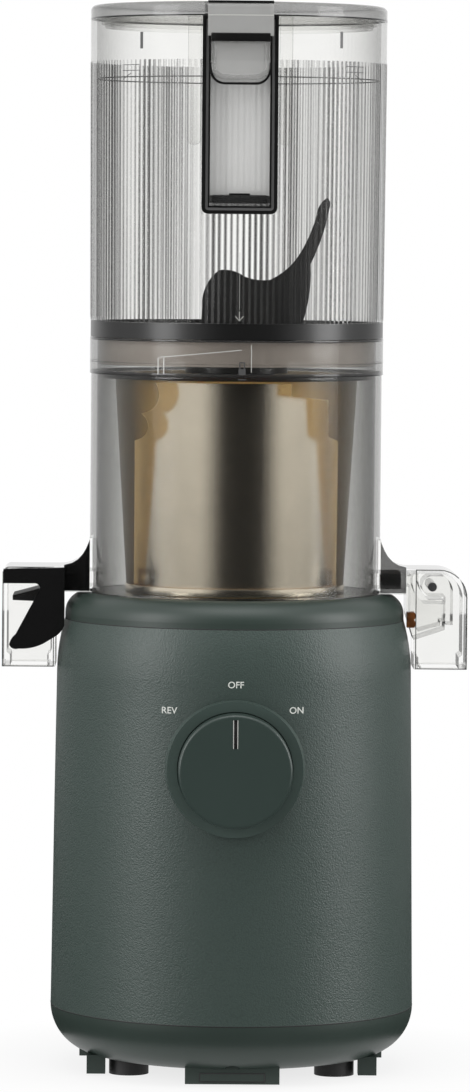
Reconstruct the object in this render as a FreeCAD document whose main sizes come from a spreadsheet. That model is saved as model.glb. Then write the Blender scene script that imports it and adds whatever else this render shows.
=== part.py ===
"""Cold press juicer: a geared motor base that turns a slow screw in a clear chamber under a hopper.

Millimetres, +Z up. The origin is on the drive axis in the plane of the feet; the knob faces -Y.
"""
import FreeCAD, Part
import math
import os

import Sketcher

doc = FreeCAD.newDocument("cold_press_juicer")

SIZES = {
    # Base casing
    "foot_height": 6.5,
    "foot_radius": 8.5,
    "foot_inset": 13.6,
    "foot_along": 26.0,
    "base_wall": 2.5,
    "bottom_seam": 27.2,
    "body_radius": 78.3,
    "body_mid_taper": 1.1,
    "body_mid_height": 116.0,
    "body_high_taper": 1.9,
    "collar_radius": 73.0,
    "top_seam": 194.0,
    "shoulder_drop": 22.0,
    "cover_rise": 11.5,
    "shoulder_bend": 80.0,
    "cover_round": 9.0,
    "recess_depth": 3.0,
    "boss_radius": 11.0,
    "boss_rise": 4.5,
    "post_inset": 13.3,
    "post_radius": 4.5,
    "lug_thickness": 3.0,
    "lug_width": 12.0,
    "screw_radius": 1.7,
    "screw_head_radius": 3.2,
    "screw_head_height": 3.0,
    "screw_reach": 2.0,
    "counterbore_depth": 9.0,
    "hook_gap": 0.8,
    "hook_front_width": 40.0,
    "hook_front_depth": 8.0,
    "hook_front_past": 1.4,
    "hook_side_width": 8.0,
    "hook_side_past": 0.4,
    "hook_side_along": 31.0,
    "hook_rear_past": 4.4,
    "hook_rear_along": 22.0,
    "vent_inner": 17.0,
    "vent_outer": 29.0,
    "vent_width": 4.0,
    "gland_height": 46.0,
    "gland_bore": 3.6,
    "gland_barrel": 6.9,
    "gland_flange": 9.5,
    "gland_flange_depth": 3.0,
    "gland_nut": 10.5,
    "gland_nut_depth": 4.0,
    "gland_nut_gap": 0.9,
    "gland_sink": 0.1,
    "gland_tail": 2.5,
    # Speed knob and its switch
    "knob_height": 135.8,
    "knob_radius": 24.0,
    "knob_depth": 9.3,
    "knob_proud": 13.0,
    "knob_wall": 2.6,
    "knob_edge": 1.4,
    "knob_hub": 5.5,
    "pointer_width": 2.2,
    "pointer_length": 12.0,
    "pointer_inset": 2.3,
    "pointer_depth": 0.9,
    "bezel_radius": 29.85,
    "bezel_front_radius": 28.6,
    "bezel_rear": 68.0,
    "switch_boss_radius": 14.0,
    "switch_face": 70.0,
    "switch_size": 26.0,
    "switch_depth": 20.0,
    "switch_bushing": 4.8,
    "switch_shaft": 3.0,
    "switch_tail": 2.5,
    "switch_nose_gap": 2.0,
    "switch_nut_flats": 14.0,
    "switch_nut_depth": 2.2,
    # Motor
    "motor_radius": 36.0,
    "motor_bottom": 50.0,
    "motor_wall": 1.6,
    "stator_bore": 23.0,
    "stator_bottom": 62.0,
    "stator_height": 44.0,
    "winding_height": 6.0,
    "winding_outer": 32.0,
    "rotor_radius": 22.4,
    "motor_shaft": 4.0,
    "bearing_radius": 11.0,
    "bearing_width": 7.0,
    "fan_radius": 31.0,
    "fan_bottom": 39.0,
    "fan_height": 8.0,
    "fan_blades": 9.0,
    "fan_blade_width": 2.0,
    # Gear train
    "gearbox_bottom": 118.0,
    "gearbox_floor": 4.0,
    "gearbox_wall": 2.4,
    "gearbox_height": 42.0,
    "gearbox_lid": 3.0,
    "pillar_radius": 4.0,
    "pillar_across": 25.0,
    "pillar_front": 15.0,
    "pillar_rear": 49.0,
    "pillar_rear_across": 17.0,
    "pillar_bore_depth": 14.0,
    "pillar_screw_depth": 12.0,
    "output_bearing_radius": 13.0,
    "output_room": 3.0,
    "pin_radius": 3.0,
    "gear_gap": 1.0,
    "first_module": 1.0,
    "first_face": 8.0,
    "second_module": 1.25,
    "second_face": 10.0,
    "third_module": 1.75,
    "third_face": 14.0,
    "gear_play": 0.08,
    "drive_radius": 6.0,
    "drive_flats": 10.2,
    "drive_top": 26.5,
    "seal_radius": 9.8,
    "seal_height": 2.2,
    # Control board
    "board_width": 60.0,
    "board_depth": 44.0,
    "board_thickness": 1.6,
    "board_rise": 3.5,
    "standoff_inset": 5.0,
    "relay_width": 16.0,
    "relay_depth": 12.0,
    "relay_height": 11.0,
    "terminal_width": 24.0,
    "terminal_depth": 8.0,
    "terminal_height": 9.0,
    "terminal_place": 10.0,
    "part_inset": 6.0,
    "standoff_radius": 3.0,
    "capacitor_length": 32.0,
    "capacitor_width": 15.0,
    "capacitor_height": 20.0,
    # Juicing chamber
    "chamber_radius": 62.6,
    "chamber_wall": 2.6,
    "chamber_floor": 2.8,
    "chamber_top": 109.5,
    "band_bottom": 94.5,
    "band_radius": 63.1,
    "collar_inner": 12.6,
    "collar_outer": 15.0,
    "collar_top": 9.5,
    "hood_top": 11.1,
    "hood_bottom": -31.9,
    "outlet_gap": 0.6,
    "outlet_depth": 22.8,
    "hood_half_width": 16.0,
    "hood_wall": 2.0,
    "hood_web": 12.4,
    "juice_corner": 3.0,
    "pulp_corner": 12.5,
    "hood_floor": 2.1,
    "hood_root_bottom": -8.5,
    "hood_inner_top": -19.5,
    "lip_height": 6.0,
    "lip_inset": 1.4,
    # Strainer
    "strainer_foot": 46.8,
    "strainer_foot_height": 3.0,
    "strainer_rim": 52.0,
    "strainer_top": 94.5,
    "strainer_wall": 2.3,
    "strainer_rim_height": 4.0,
    "window_low": 3.5,
    "window_high": 91.1,
    "window_half": 43.4,
    "tooth_high": 35.0,
    "tooth_notch": 41.0,
    "tooth_bend": 8.2,
    "tooth_low_bend": 6.2,
    "post_edge": 39.0,
    "band_edge": 23.0,
    "band_depth": 5.4,
    "window_step": 66.1,
    "tooth_middle": 77.7,
    "screen_radius": 44.0,
    "screen_wall": 0.9,
    # Juicing screw
    "screw_radius_outer": 42.2,
    "screw_core_low": 27.0,
    "screw_core_high": 16.5,
    "screw_cone_bottom": 10.5,
    "screw_top": 94.5,
    "flight_pitch": 34.0,
    "flight_rise": 74.0,
    "flight_base": 7.5,
    "flight_tip": 4.5,
    "wing_disc_radius": 22.0,
    "wing_disc_height": 7.0,
    "wing_top": 170.0,
    "wing_reach": 39.5,
    "wing_hump": 138.5,
    "wing_thickness": 6.0,
    "wing_peg": 7.0,
    # Juice lever and its gate
    "lever_thickness": 5.0,
    "lever_pivot_z": -0.5,
    "pivot_inset": 1.0,
    "lever_pin_radius": 2.2,
    "lever_plate": 6.9,
    "lever_drop": 34.9,
    "gate_half_width": 13.2,
    "gate_hub": 3.7,
    "gate_thickness": 2.0,
    "gate_drop": 3.0,
    # Pulp outlet
    "nozzle_wall": 1.8,
    "nozzle_half_width": 13.6,
    "nozzle_floor": -15.0,
    "nozzle_shelf": -2.1,
    "nozzle_mouth_low": -11.5,
    "nozzle_mouth_high": -4.1,
    "door_pin_z": 3.6,
    "door_pin_radius": 1.9,
    "door_knuckle": 4.4,
    "door_half_width": 12.6,
    "door_thickness": 3.2,
    "door_bottom": -12.9,
    "plug_outer": 79.0,
    "plug_low": -14.9,
    "plug_high": -8.1,
    "plug_half_width": 3.4,
    # Hopper
    "ring_height": 6.7,
    "skirt_depth": 12.0,
    "skirt_wall": 2.0,
    "hopper_high_radius": 63.6,
    "hopper_taper": 0.7,
    "hopper_top": 245.6,
    "hopper_wall": 2.5,
    "channel_half": 15.9,
    "channel_bottom": 162.5,
    "channel_front": 66.5,
    "channel_back": 59.5,
    "channel_rail": 3.4,
    "channel_sill": 4.6,
    "window_thickness": 1.6,
    "button_top": 236.1,
    "button_bottom": 218.7,
    "button_round": 4.5,
    "button_proud": 2.0,
    "button_thickness": 3.4,
    "button_inset": 2.4,
    "button_pad_depth": 0.5,
    # Lid and its hinge
    "lid_thickness": 5.6,
    "lid_edge": 2.2,
    "lid_skirt_radius": 57.6,
    "lid_skirt_depth": 4.0,
    "arm_half": 13.8,
    "arm_bottom": 236.8,
    "arm_thickness": 3.4,
    "hinge_back": 67.6,
    "hinge_rise": 2.4,
    "hinge_knuckle": 3.2,
    "hinge_pin": 1.7,
    "hinge_half": 14.5,
    "hinge_ear": 4.6,
    "bracket_bottom": 230.5,
    # Clearances
    "moving_gap": 0.3,
    "fit_gap": 0.02,
    "running_gap": 0.05,
    "seat_gap": 0.05,
}

# Heights that the sheet gives above the flat top of the top cover
ABOVE_COVER = {
    "chamber_top", "band_bottom", "collar_top", "hood_top", "hood_bottom",
    "hood_root_bottom", "hood_inner_top", "strainer_top", "window_low", "window_high",
    "window_step", "tooth_middle", "screw_cone_bottom", "screw_top", "wing_top",
    "wing_hump", "lever_pivot_z", "nozzle_floor", "nozzle_shelf", "nozzle_mouth_low",
    "nozzle_mouth_high", "door_pin_z", "door_bottom", "plug_low", "plug_high",
    "hopper_top", "channel_bottom", "button_top", "button_bottom", "arm_bottom",
    "bracket_bottom", "drive_top",
}

# Tooth counts of the three gear pairs and the share of a tooth above and below the pitch circle
PINION_TEETH = 10
FIRST_TEETH = 40
SMALL_TEETH = 12
SECOND_TEETH = 36
OUTPUT_TEETH = 33
PRESSURE_ANGLE = 25
ADDENDUM = 0.8
DEDENDUM = 1.05
FLANK_POINTS = 4

sheet = doc.addObject("Spreadsheet::Sheet", "dims")
for row, (alias, number) in enumerate(SIZES.items(), start=1):
    sheet.set(f"A{row}", alias.replace("_", " "))
    sheet.set(f"B{row}", str(number))
    sheet.setAlias(f"B{row}", alias)
doc.recompute()


class Dim:
    """A length that keeps both its number and the sheet expression that gives it."""

    def __init__(self, value, text=None):
        self.value = float(value)
        self.text = text if text is not None else repr(float(value))

    @staticmethod
    def of(other):
        return other if isinstance(other, Dim) else Dim(other)

    def __add__(self, other):
        other = Dim.of(other)
        return Dim(self.value + other.value, f"({self.text} + {other.text})")

    def __sub__(self, other):
        other = Dim.of(other)
        return Dim(self.value - other.value, f"({self.text} - {other.text})")

    def __mul__(self, other):
        other = Dim.of(other)
        return Dim(self.value * other.value, f"({self.text} * {other.text})")

    def __truediv__(self, other):
        other = Dim.of(other)
        return Dim(self.value / other.value, f"({self.text} / {other.text})")

    def __neg__(self):
        return Dim(-self.value, f"(0 - {self.text})")

    __radd__ = __add__

    def __rsub__(self, other):
        return Dim.of(other) - self

    __rmul__ = __mul__


class Sizes:
    """Gives each driving dimension of the sheet as a Dim, by its alias, with heights taken from the feet."""

    def __getattr__(self, alias):
        length = Dim(SIZES[alias], f"dims.{alias}")
        return cover_top + length if alias in ABOVE_COVER else length


size = Sizes()
cover_top = size.top_seam + size.cover_rise
ZERO = Dim(0)
NODES = []


def root(length):
    """Square root of a Dim."""
    return Dim(math.sqrt(length.value), f"sqrt({length.text})")


def node(piece):
    """Marks a finished object as a piece of its own."""
    piece.Label = piece.Name
    NODES.append(piece)
    return piece


def bind(item, **sizes):
    """Sets properties of an object and ties those that are Dims to the sheet."""
    for key, value in sizes.items():
        path = key.replace("__", ".")
        if isinstance(value, Dim):
            item.setExpression(path, value.text)
        else:
            setattr(item, key, value)
    return item


def place(item, across=ZERO, along=ZERO, up=ZERO, turn=None):
    """Puts an object at a point given by Dims, turned by a rotation."""
    item.Placement = FreeCAD.Placement(FreeCAD.Vector(), turn or FreeCAD.Rotation())
    parts = (("x", across), ("y", along), ("z", up))
    for letter, value in parts:
        if Dim.of(value).value != 0:
            item.setExpression(f"Placement.Base.{letter}", Dim.of(value).text)
    return item


FRONTWARD = FreeCAD.Rotation(FreeCAD.Vector(1, 0, 0), 90)
RIGHTWARD = FreeCAD.Rotation(FreeCAD.Vector(0, 1, 0), 90)


def origin_of(piece, role):
    """Finds a plane or axis of a body's own origin."""
    return next(item for item in piece.Origin.OriginFeatures if item.Role == role)


def flat(point):
    return FreeCAD.Vector(Dim.of(point[0]).value, Dim.of(point[1]).value, 0)


def bend(start, end, radius):
    """Short arc between two points; a positive radius turns to the left, a negative one to the right."""
    along = end - start
    lift = math.sqrt(max(radius * radius - along.Length * along.Length / 4, 0))
    aside = FreeCAD.Vector(-along.y, along.x, 0).normalize() * math.copysign(lift, radius)
    centre = (start + end) * 0.5 + aside
    first, last = (start, end) if radius > 0 else (end, start)
    circle = Part.Circle(centre, FreeCAD.Vector(0, 0, 1), abs(radius))
    from_angle = math.atan2(first.y - centre.y, first.x - centre.x)
    to_angle = math.atan2(last.y - centre.y, last.x - centre.x)
    return Part.ArcOfCircle(circle, from_angle, to_angle)


def fix(sketch, kind, *where, length):
    """Adds a constraint and ties it to the sheet where its length is a Dim from the sheet."""
    length = Dim.of(length)
    number = sketch.addConstraint(Sketcher.Constraint(kind, *where, length.value))
    if "dims." in length.text:
        sketch.setExpression(f"Constraints[{number}]", length.text)


def draw_outline(sketch, points):
    """Draws a closed outline: (x, y) is reached by a line and (x, y, radius) by an arc."""
    ends = []
    for index, point in enumerate(points):
        following = points[(index + 1) % len(points)]
        start, end = flat(point), flat(following)
        if len(following) == 3:
            radius = Dim.of(following[2])
            edge = sketch.addGeometry(bend(start, end, radius.value))
            ends.append((edge, 1, 2) if radius.value > 0 else (edge, 2, 1))
            size_text = radius if radius.value > 0 else -radius
            fix(sketch, "Radius", edge, length=size_text)
        else:
            edge = sketch.addGeometry(Part.LineSegment(start, end))
            ends.append((edge, 1, 2))
    for index, point in enumerate(points):
        edge, start, end = ends[index]
        next_edge, next_start, next_end = ends[(index + 1) % len(points)]
        sketch.addConstraint(Sketcher.Constraint("Coincident", edge, end, next_edge, next_start))
        fix(sketch, "DistanceX", edge, start, length=point[0])
        fix(sketch, "DistanceY", edge, start, length=point[1])


def draw_circle(sketch, across, up, radius):
    """Draws a circle at a point of the sketch."""
    centre = flat((across, up))
    edge = sketch.addGeometry(Part.Circle(centre, FreeCAD.Vector(0, 0, 1), Dim.of(radius).value))
    fix(sketch, "Radius", edge, length=radius)
    fix(sketch, "DistanceX", edge, 3, length=across)
    fix(sketch, "DistanceY", edge, 3, length=up)


def sketch_on(piece, name, role, offset=ZERO):
    """Makes a sketch on one of the body's own origin planes, moved along its normal."""
    sketch = piece.newObject("Sketcher::SketchObject", name)
    sketch.AttachmentSupport = [(origin_of(piece, role), "")]
    sketch.MapMode = "FlatFace"
    if Dim.of(offset).value != 0:
        sketch.setExpression("AttachmentOffset.Base.z", Dim.of(offset).text)
    return sketch


def outline(piece, name, role, points, offset=ZERO):
    sketch = sketch_on(piece, name, role, offset)
    draw_outline(sketch, points)
    return sketch


def circles(piece, name, role, spots, offset=ZERO):
    sketch = sketch_on(piece, name, role, offset)
    for across, up, radius in spots:
        draw_circle(sketch, across, up, radius)
    return sketch


def feature(piece, kind, sketch, **sizes):
    """Adds a PartDesign feature made from a sketch."""
    item = piece.newObject("PartDesign::" + kind, sketch.Name + "_" + kind.lower())
    item.Profile = sketch
    return bind(item, **sizes)


def body(name):
    return doc.addObject("PartDesign::Body", name)


def turned(piece, name, points, kind="Revolution"):
    """Turns an outline of (radius, height) points once round the body's Z axis."""
    sketch = outline(piece, name, "XZ_Plane", points)
    return feature(piece, kind, sketch, ReferenceAxis=(sketch, ["V_Axis"]), Angle=360)


def repeat_round(piece, name, originals, count):
    """Repeats features round the body's Z axis and makes the pattern the tip."""
    pattern = piece.newObject("PartDesign::PolarPattern", name)
    pattern.Originals = originals
    pattern.Axis = (origin_of(piece, "Z_Axis"), [""])
    pattern.Angle = 360
    pattern.Occurrences = count
    piece.Tip = pattern
    return pattern


def cylinder(name, radius, length, across=ZERO, along=ZERO, up=ZERO, turn=None):
    item = bind(doc.addObject("Part::Cylinder", name), Radius=radius, Height=length)
    return place(item, across, along, up, turn)


def box(name, width, depth, height, across=ZERO, along=ZERO, up=ZERO):
    """Box with its low corner at the point given."""
    item = bind(doc.addObject("Part::Box", name), Length=width, Width=depth, Height=height)
    return place(item, across, along, up)


def fused(name, pieces):
    item = doc.addObject("Part::MultiFuse", name)
    item.Shapes = pieces
    return item


def cut(name, base, tool):
    item = doc.addObject("Part::Cut", name)
    item.Base = base
    item.Tool = tool
    return item


def group(name, pieces):
    item = doc.addObject("Part::Compound", name)
    item.Links = pieces
    return item


def rectangle(left, right, low, high):
    return [(left, low), (right, low), (right, high), (left, high)]


def ring(name, inner, outer, low, high):
    """A plain turned ring as a body."""
    piece = body(name)
    turned(piece, name + "_section", rectangle(inner, outer, low, high))
    return piece


# Levels that several pieces share
body_high_height = size.top_seam - size.shoulder_drop
floor_top = size.foot_height + size.base_wall
recess_floor = cover_top - size.recess_depth
cover_under = recess_floor - size.base_wall
boss_top = recess_floor + size.boss_rise
chamber_bottom = recess_floor + size.moving_gap
chamber_floor_top = chamber_bottom + size.chamber_floor
chamber_inner = size.chamber_radius - size.chamber_wall
body_mid_radius = size.body_radius - size.body_mid_taper
body_high_radius = size.body_radius - size.body_high_taper
knob_front = body_mid_radius - 0.2 + size.knob_proud
knob_back = knob_front - size.knob_depth
bezel_front = knob_back - size.moving_gap
bezel_bore = size.knob_radius + 0.4
flat_face = body_mid_radius - 1.8
bowl_radius = size.bottom_seam - size.foot_height
flat_radius = size.body_radius - bowl_radius
hook_front_place = flat_radius + size.hook_front_past
hook_side_across = flat_radius + size.hook_side_past
hook_rear_across = flat_radius + size.hook_rear_past
foot_across = flat_radius - size.foot_inset
post_circle = size.body_radius - size.post_inset
gearbox_inside = size.gearbox_bottom + size.gearbox_floor
gearbox_top = gearbox_inside + size.gearbox_height
lid_top_gearbox = gearbox_top + size.gearbox_lid
hood_under = cover_top + size.moving_gap
hood_floor_top = hood_under + size.hood_floor
hood_root = size.collar_radius + size.outlet_gap
hood_inner = body_high_radius + size.outlet_gap
hood_reach = hood_inner + size.outlet_depth
outlet_room = size.outlet_depth - size.hood_wall - size.door_thickness
nozzle_face = hood_inner + outlet_room * 0.75
nozzle_bend = hood_inner + outlet_room * 0.34
nozzle_throat = hood_inner - size.fit_gap * 10
door_pin_x = hood_inner + outlet_room * 0.4375
lever_pivot_x = -(hood_inner + size.pivot_inset)
gate_reach = hood_reach - size.hood_wall - size.lip_inset - size.seat_gap * 20
ring_bottom = size.chamber_top + size.moving_gap
ring_top = ring_bottom + size.ring_height
skirt_radius = chamber_inner - size.moving_gap
lid_bottom = size.hopper_top + size.moving_gap
lid_top = lid_bottom + size.lid_thickness
hinge_height = lid_bottom + size.hinge_rise


def wall_line(inset):
    """Outer line of the covered body from the bottom seam to the top seam, moved inward."""
    return [
        (size.body_radius - inset, size.bottom_seam),
        (body_mid_radius - inset, size.body_mid_height),
        (body_high_radius - inset, body_high_height),
        (size.collar_radius - inset, size.top_seam, size.shoulder_bend),
    ]


def wall_line_down(inset):
    """The same line from the top seam down, as the inside of the wall."""
    return [
        (size.collar_radius - inset, size.top_seam),
        (body_high_radius - inset, body_high_height, -size.shoulder_bend),
        (body_mid_radius - inset, size.body_mid_height),
        (size.body_radius - inset, size.bottom_seam),
    ]


def make_body_shell():
    """Round casing with the switch boss, the cord hole and four screw lugs."""
    shell = body("body_shell")
    turned(shell, "shell_wall", wall_line(ZERO) + wall_line_down(size.base_wall))
    boss = circles(shell, "switch_boss", "XZ_Plane", [(ZERO, size.knob_height, size.switch_boss_radius)],
                   size.switch_face)
    feature(shell, "Pad", boss, Length=flat_face - size.switch_face)
    facing = circles(shell, "knob_facing", "XZ_Plane", [(ZERO, size.knob_height, bezel_bore)], flat_face)
    feature(shell, "Pocket", facing, Length=size.knob_proud, Reversed=True)
    bushing = circles(shell, "bushing_hole", "XZ_Plane",
                      [(ZERO, size.knob_height, size.switch_bushing + size.seat_gap)])
    feature(shell, "Pocket", bushing, Length=size.body_radius, Reversed=True)
    cord = circles(shell, "cord_hole", "XZ_Plane",
                   [(ZERO, size.gland_height, size.gland_barrel + size.seat_gap)])
    feature(shell, "Pocket", cord, Length=size.body_radius + size.base_wall)
    half = size.lug_width / 2
    near = post_circle - size.post_radius
    far = size.body_radius - size.base_wall / 2
    lug = outline(shell, "screw_lug", "XY_Plane", rectangle(near, far, -half, half), size.bottom_seam)
    lug_pad = feature(shell, "Pad", lug, Length=size.lug_thickness)
    hole = circles(shell, "lug_hole", "XY_Plane", [(post_circle, ZERO, size.screw_radius + size.fit_gap)],
                   size.bottom_seam)
    lug_hole = feature(shell, "Pocket", hole, Length=size.lug_thickness, Reversed=True)
    repeat_round(shell, "lug_pattern", [lug_pad, lug_hole], 4)
    return node(shell)


def make_envelope():
    """Solid inside the casing's outer line, used to fit the bezel to the curved front."""
    envelope = body("casing_envelope")
    turned(envelope, "envelope_section", [(ZERO, size.bottom_seam)] + wall_line(ZERO) + [(ZERO, size.top_seam)])
    return envelope


def make_top_cover():
    """Smooth cover over the casing with the recess and the collar that carry the chamber."""
    cover = body("top_cover")
    shoulder = size.collar_radius - size.cover_round
    recess = size.chamber_radius + 0.4
    inner = size.collar_radius - size.base_wall
    bore = size.drive_radius + size.moving_gap
    turned(cover, "cover_section", [
        (inner, size.top_seam),
        (size.collar_radius, size.top_seam),
        (size.collar_radius, cover_top - size.cover_round),
        (shoulder, cover_top, size.cover_round),
        (recess, cover_top),
        (recess, recess_floor),
        (size.boss_radius, recess_floor),
        (size.boss_radius, boss_top),
        (bore, boss_top),
        (bore, cover_under),
        (recess - size.base_wall, cover_under),
        (inner, cover_top - size.cover_round),
    ])
    spots = [(x, y, size.screw_radius + size.fit_gap) for x, y in pillar_spots()]
    holes = circles(cover, "pillar_holes", "XY_Plane", spots, cover_under)
    feature(cover, "Pocket", holes, Length=size.base_wall, Reversed=True)
    return node(cover)


def make_bottom_cover():
    """Bowl under the casing with cord hooks, vents, screw posts and board standoffs."""
    cover = body("bottom_cover")
    inner_flat = flat_radius - size.base_wall * 0.2
    turned(cover, "bowl_section", [
        (ZERO, size.foot_height),
        (flat_radius, size.foot_height),
        (size.body_radius, size.bottom_seam, bowl_radius),
        (size.body_radius - size.base_wall, size.bottom_seam),
        (inner_flat, floor_top, -(bowl_radius - size.base_wall)),
        (ZERO, floor_top),
    ])
    post_start = floor_top + 1.4
    post = circles(cover, "screw_post", "XY_Plane", [(post_circle, ZERO, size.post_radius)], post_start)
    post_pad = feature(cover, "Pad", post, Length=size.bottom_seam - post_start)
    bore = circles(cover, "post_bore", "XY_Plane",
                   [(post_circle, ZERO, size.screw_radius + size.fit_gap)])
    post_bore = feature(cover, "Pocket", bore, Length=size.bottom_seam, Reversed=True)
    seat = circles(cover, "post_seat", "XY_Plane",
                   [(post_circle, ZERO, size.screw_head_radius + size.seat_gap)])
    post_seat = feature(cover, "Pocket", seat, Length=size.foot_height + size.counterbore_depth, Reversed=True)
    repeat_round(cover, "post_pattern", [post_pad, post_bore, post_seat], 4)
    vent = outline(cover, "vent_slot", "XY_Plane",
                   rectangle(size.vent_inner, size.vent_outer, -size.vent_width / 2, size.vent_width / 2))
    vent_cut = feature(cover, "Pocket", vent, Length=floor_top, Reversed=True)
    repeat_round(cover, "vent_pattern", [vent_cut], 12)
    across = size.board_width / 2 - size.standoff_inset
    along = size.board_depth / 2 - size.standoff_inset
    spots = [(across * x, along * y, size.standoff_radius) for x in (-1, 1) for y in (-1, 1)]
    standoff = circles(cover, "board_standoffs", "XY_Plane", spots, size.foot_height + size.base_wall / 2)
    feature(cover, "Pad", standoff, Length=size.board_rise + size.base_wall / 2)
    hooks = sketch_on(cover, "cord_hooks", "XY_Plane", size.hook_gap)
    half = size.hook_front_width / 2
    depth = size.hook_front_depth / 2
    side = size.hook_side_width / 2
    draw_outline(hooks, rectangle(-half, half, -hook_front_place - depth, -hook_front_place + depth))
    for sign in (-1, 1):
        for across, along in ((hook_side_across, -size.hook_side_along),
                              (hook_rear_across, size.hook_rear_along)):
            middle = across * sign
            draw_outline(hooks, rectangle(middle - side, middle + side, along - side, along + side))
    feature(cover, "Pad", hooks, Length=floor_top - size.hook_gap - 0.2)
    return node(cover)


def make_feet():
    """Four rubber feet under the flat of the bowl."""
    feet = []
    for number, (across, along) in enumerate(((1, 1), (1, -1), (-1, 1), (-1, -1)), start=1):
        feet.append(cylinder(f"foot_{number}", size.foot_radius, size.foot_height,
                             foot_across * across, size.foot_along * along))
    return node(group("rubber_feet", feet))


def make_cover_screws():
    """Four screws that hold the bottom cover to the casing."""
    screws = []
    head = size.foot_height + size.counterbore_depth - size.screw_head_height
    tip = size.bottom_seam + size.lug_thickness
    for number, (across, along) in enumerate(((1, 0), (0, 1), (-1, 0), (0, -1)), start=1):
        x = post_circle * across
        y = post_circle * along
        cap = cylinder(f"cover_head_{number}", size.screw_head_radius, size.screw_head_height, x, y, head)
        shank = cylinder(f"cover_shank_{number}", size.screw_radius, tip - head, x, y, head)
        screws.append(fused(f"cover_screw_{number}", [cap, shank]))
    return node(group("cover_screws", screws))


def make_bezel(envelope):
    """Flared ring round the knob, cut to the curve of the casing behind it."""
    flare = bind(doc.addObject("Part::Cone", "bezel_flare"), Radius1=size.bezel_radius,
                 Radius2=size.bezel_front_radius, Height=bezel_front - size.bezel_rear)
    place(flare, along=-size.bezel_rear, up=size.knob_height, turn=FRONTWARD)
    opening = cylinder("bezel_opening", bezel_bore, size.body_radius, up=size.knob_height,
                       along=-size.knob_radius, turn=FRONTWARD)
    hollow = fused("bezel_hollow", [opening, envelope])
    return node(cut("knob_bezel", flare, hollow))


def make_knob():
    """Turning knob: a cup with a hub for the switch shaft and a pointer slot in its face."""
    knob = body("power_knob")
    place(knob, up=size.knob_height, turn=FRONTWARD)
    inside = size.knob_radius - size.knob_wall
    web = knob_front - size.knob_wall
    bore = size.switch_shaft + size.fit_gap
    turned(knob, "knob_section", [
        (ZERO, web - 1),
        (bore, web - 1),
        (bore, knob_back),
        (size.knob_hub, knob_back),
        (size.knob_hub, web),
        (inside, web),
        (inside, knob_back),
        (size.knob_radius, knob_back),
        (size.knob_radius, knob_front - size.knob_edge),
        (size.knob_radius - size.knob_edge, knob_front, size.knob_edge),
        (ZERO, knob_front),
    ])
    half = size.pointer_width / 2
    high = size.knob_radius - size.pointer_inset
    slot = outline(knob, "pointer_slot", "XY_Plane", rectangle(-half, half, high - size.pointer_length, high),
                   knob_front)
    feature(knob, "Pocket", slot, Length=size.pointer_depth)
    return node(knob)


def make_switch():
    """Rotary switch behind the front wall, with its threaded bushing and nut, and its turning shaft."""
    switch = body("rotary_switch")
    place(switch, up=size.knob_height, turn=FRONTWARD)
    half = size.switch_size / 2
    back = size.switch_face - size.switch_depth
    block = outline(switch, "switch_block", "XY_Plane", rectangle(-half, half, -half, half), back)
    feature(switch, "Pad", block, Length=size.switch_depth)
    nose = circles(switch, "switch_nose", "XY_Plane", [(ZERO, ZERO, size.switch_bushing)], size.switch_face)
    nose_end = knob_back - size.switch_nose_gap
    feature(switch, "Pad", nose, Length=nose_end - size.switch_face)
    hole = circles(switch, "switch_bore", "XY_Plane", [(ZERO, ZERO, size.switch_shaft + size.running_gap)],
                   back + size.switch_nose_gap)
    feature(switch, "Pocket", hole, Length=size.body_radius, Reversed=True)
    node(switch)
    nut = body("switch_nut")
    place(nut, up=size.knob_height, turn=FRONTWARD)
    hexagon = outline(nut, "nut_hexagon", "XY_Plane", hexagon_points(size.switch_nut_flats), flat_face)
    feature(nut, "Pad", hexagon, Length=size.switch_nut_depth)
    thread = circles(nut, "nut_thread", "XY_Plane", [(ZERO, ZERO, size.switch_bushing + size.fit_gap)],
                     flat_face)
    feature(nut, "Pocket", thread, Length=size.switch_nut_depth, Reversed=True)
    node(nut)
    tail = back + size.switch_tail
    shaft = cylinder("switch_shaft", size.switch_shaft, knob_front - size.knob_wall - 1.0 - tail,
                     along=-tail, up=size.knob_height, turn=FRONTWARD)
    return node(shaft)


def hexagon_points(flats):
    """Corners of a hexagon round the origin, from its width across flats."""
    side = flats / root(Dim(3))
    half = flats / 2
    return [(half, -side / 2), (half, side / 2), (ZERO, side), (-half, side / 2), (-half, -side / 2),
            (ZERO, -side)]


def make_gland():
    """Cord inlet bushing through the rear wall, with its inner nut."""
    outside = size.body_radius - size.gland_sink
    inside = outside - size.base_wall - size.gland_nut_depth - size.gland_tail
    gland = body("cord_gland")
    place(gland, up=size.gland_height, turn=FRONTWARD)
    turned(gland, "gland_section", [
        (size.gland_bore, -inside),
        (size.gland_bore, -(outside + size.gland_flange_depth)),
        (size.gland_flange - 1, -(outside + size.gland_flange_depth)),
        (size.gland_flange, -(outside + size.gland_flange_depth - 1)),
        (size.gland_flange, -outside),
        (size.gland_barrel, -outside),
        (size.gland_barrel, -inside),
    ])
    node(gland)
    nut = body("gland_nut")
    place(nut, up=size.gland_height, turn=FRONTWARD)
    nut_face = outside - size.base_wall - size.gland_nut_gap
    turned(nut, "gland_nut_section", rectangle(size.gland_barrel + size.fit_gap, size.gland_nut,
                                               -nut_face, -(nut_face - size.gland_nut_depth)))
    return node(nut)


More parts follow.
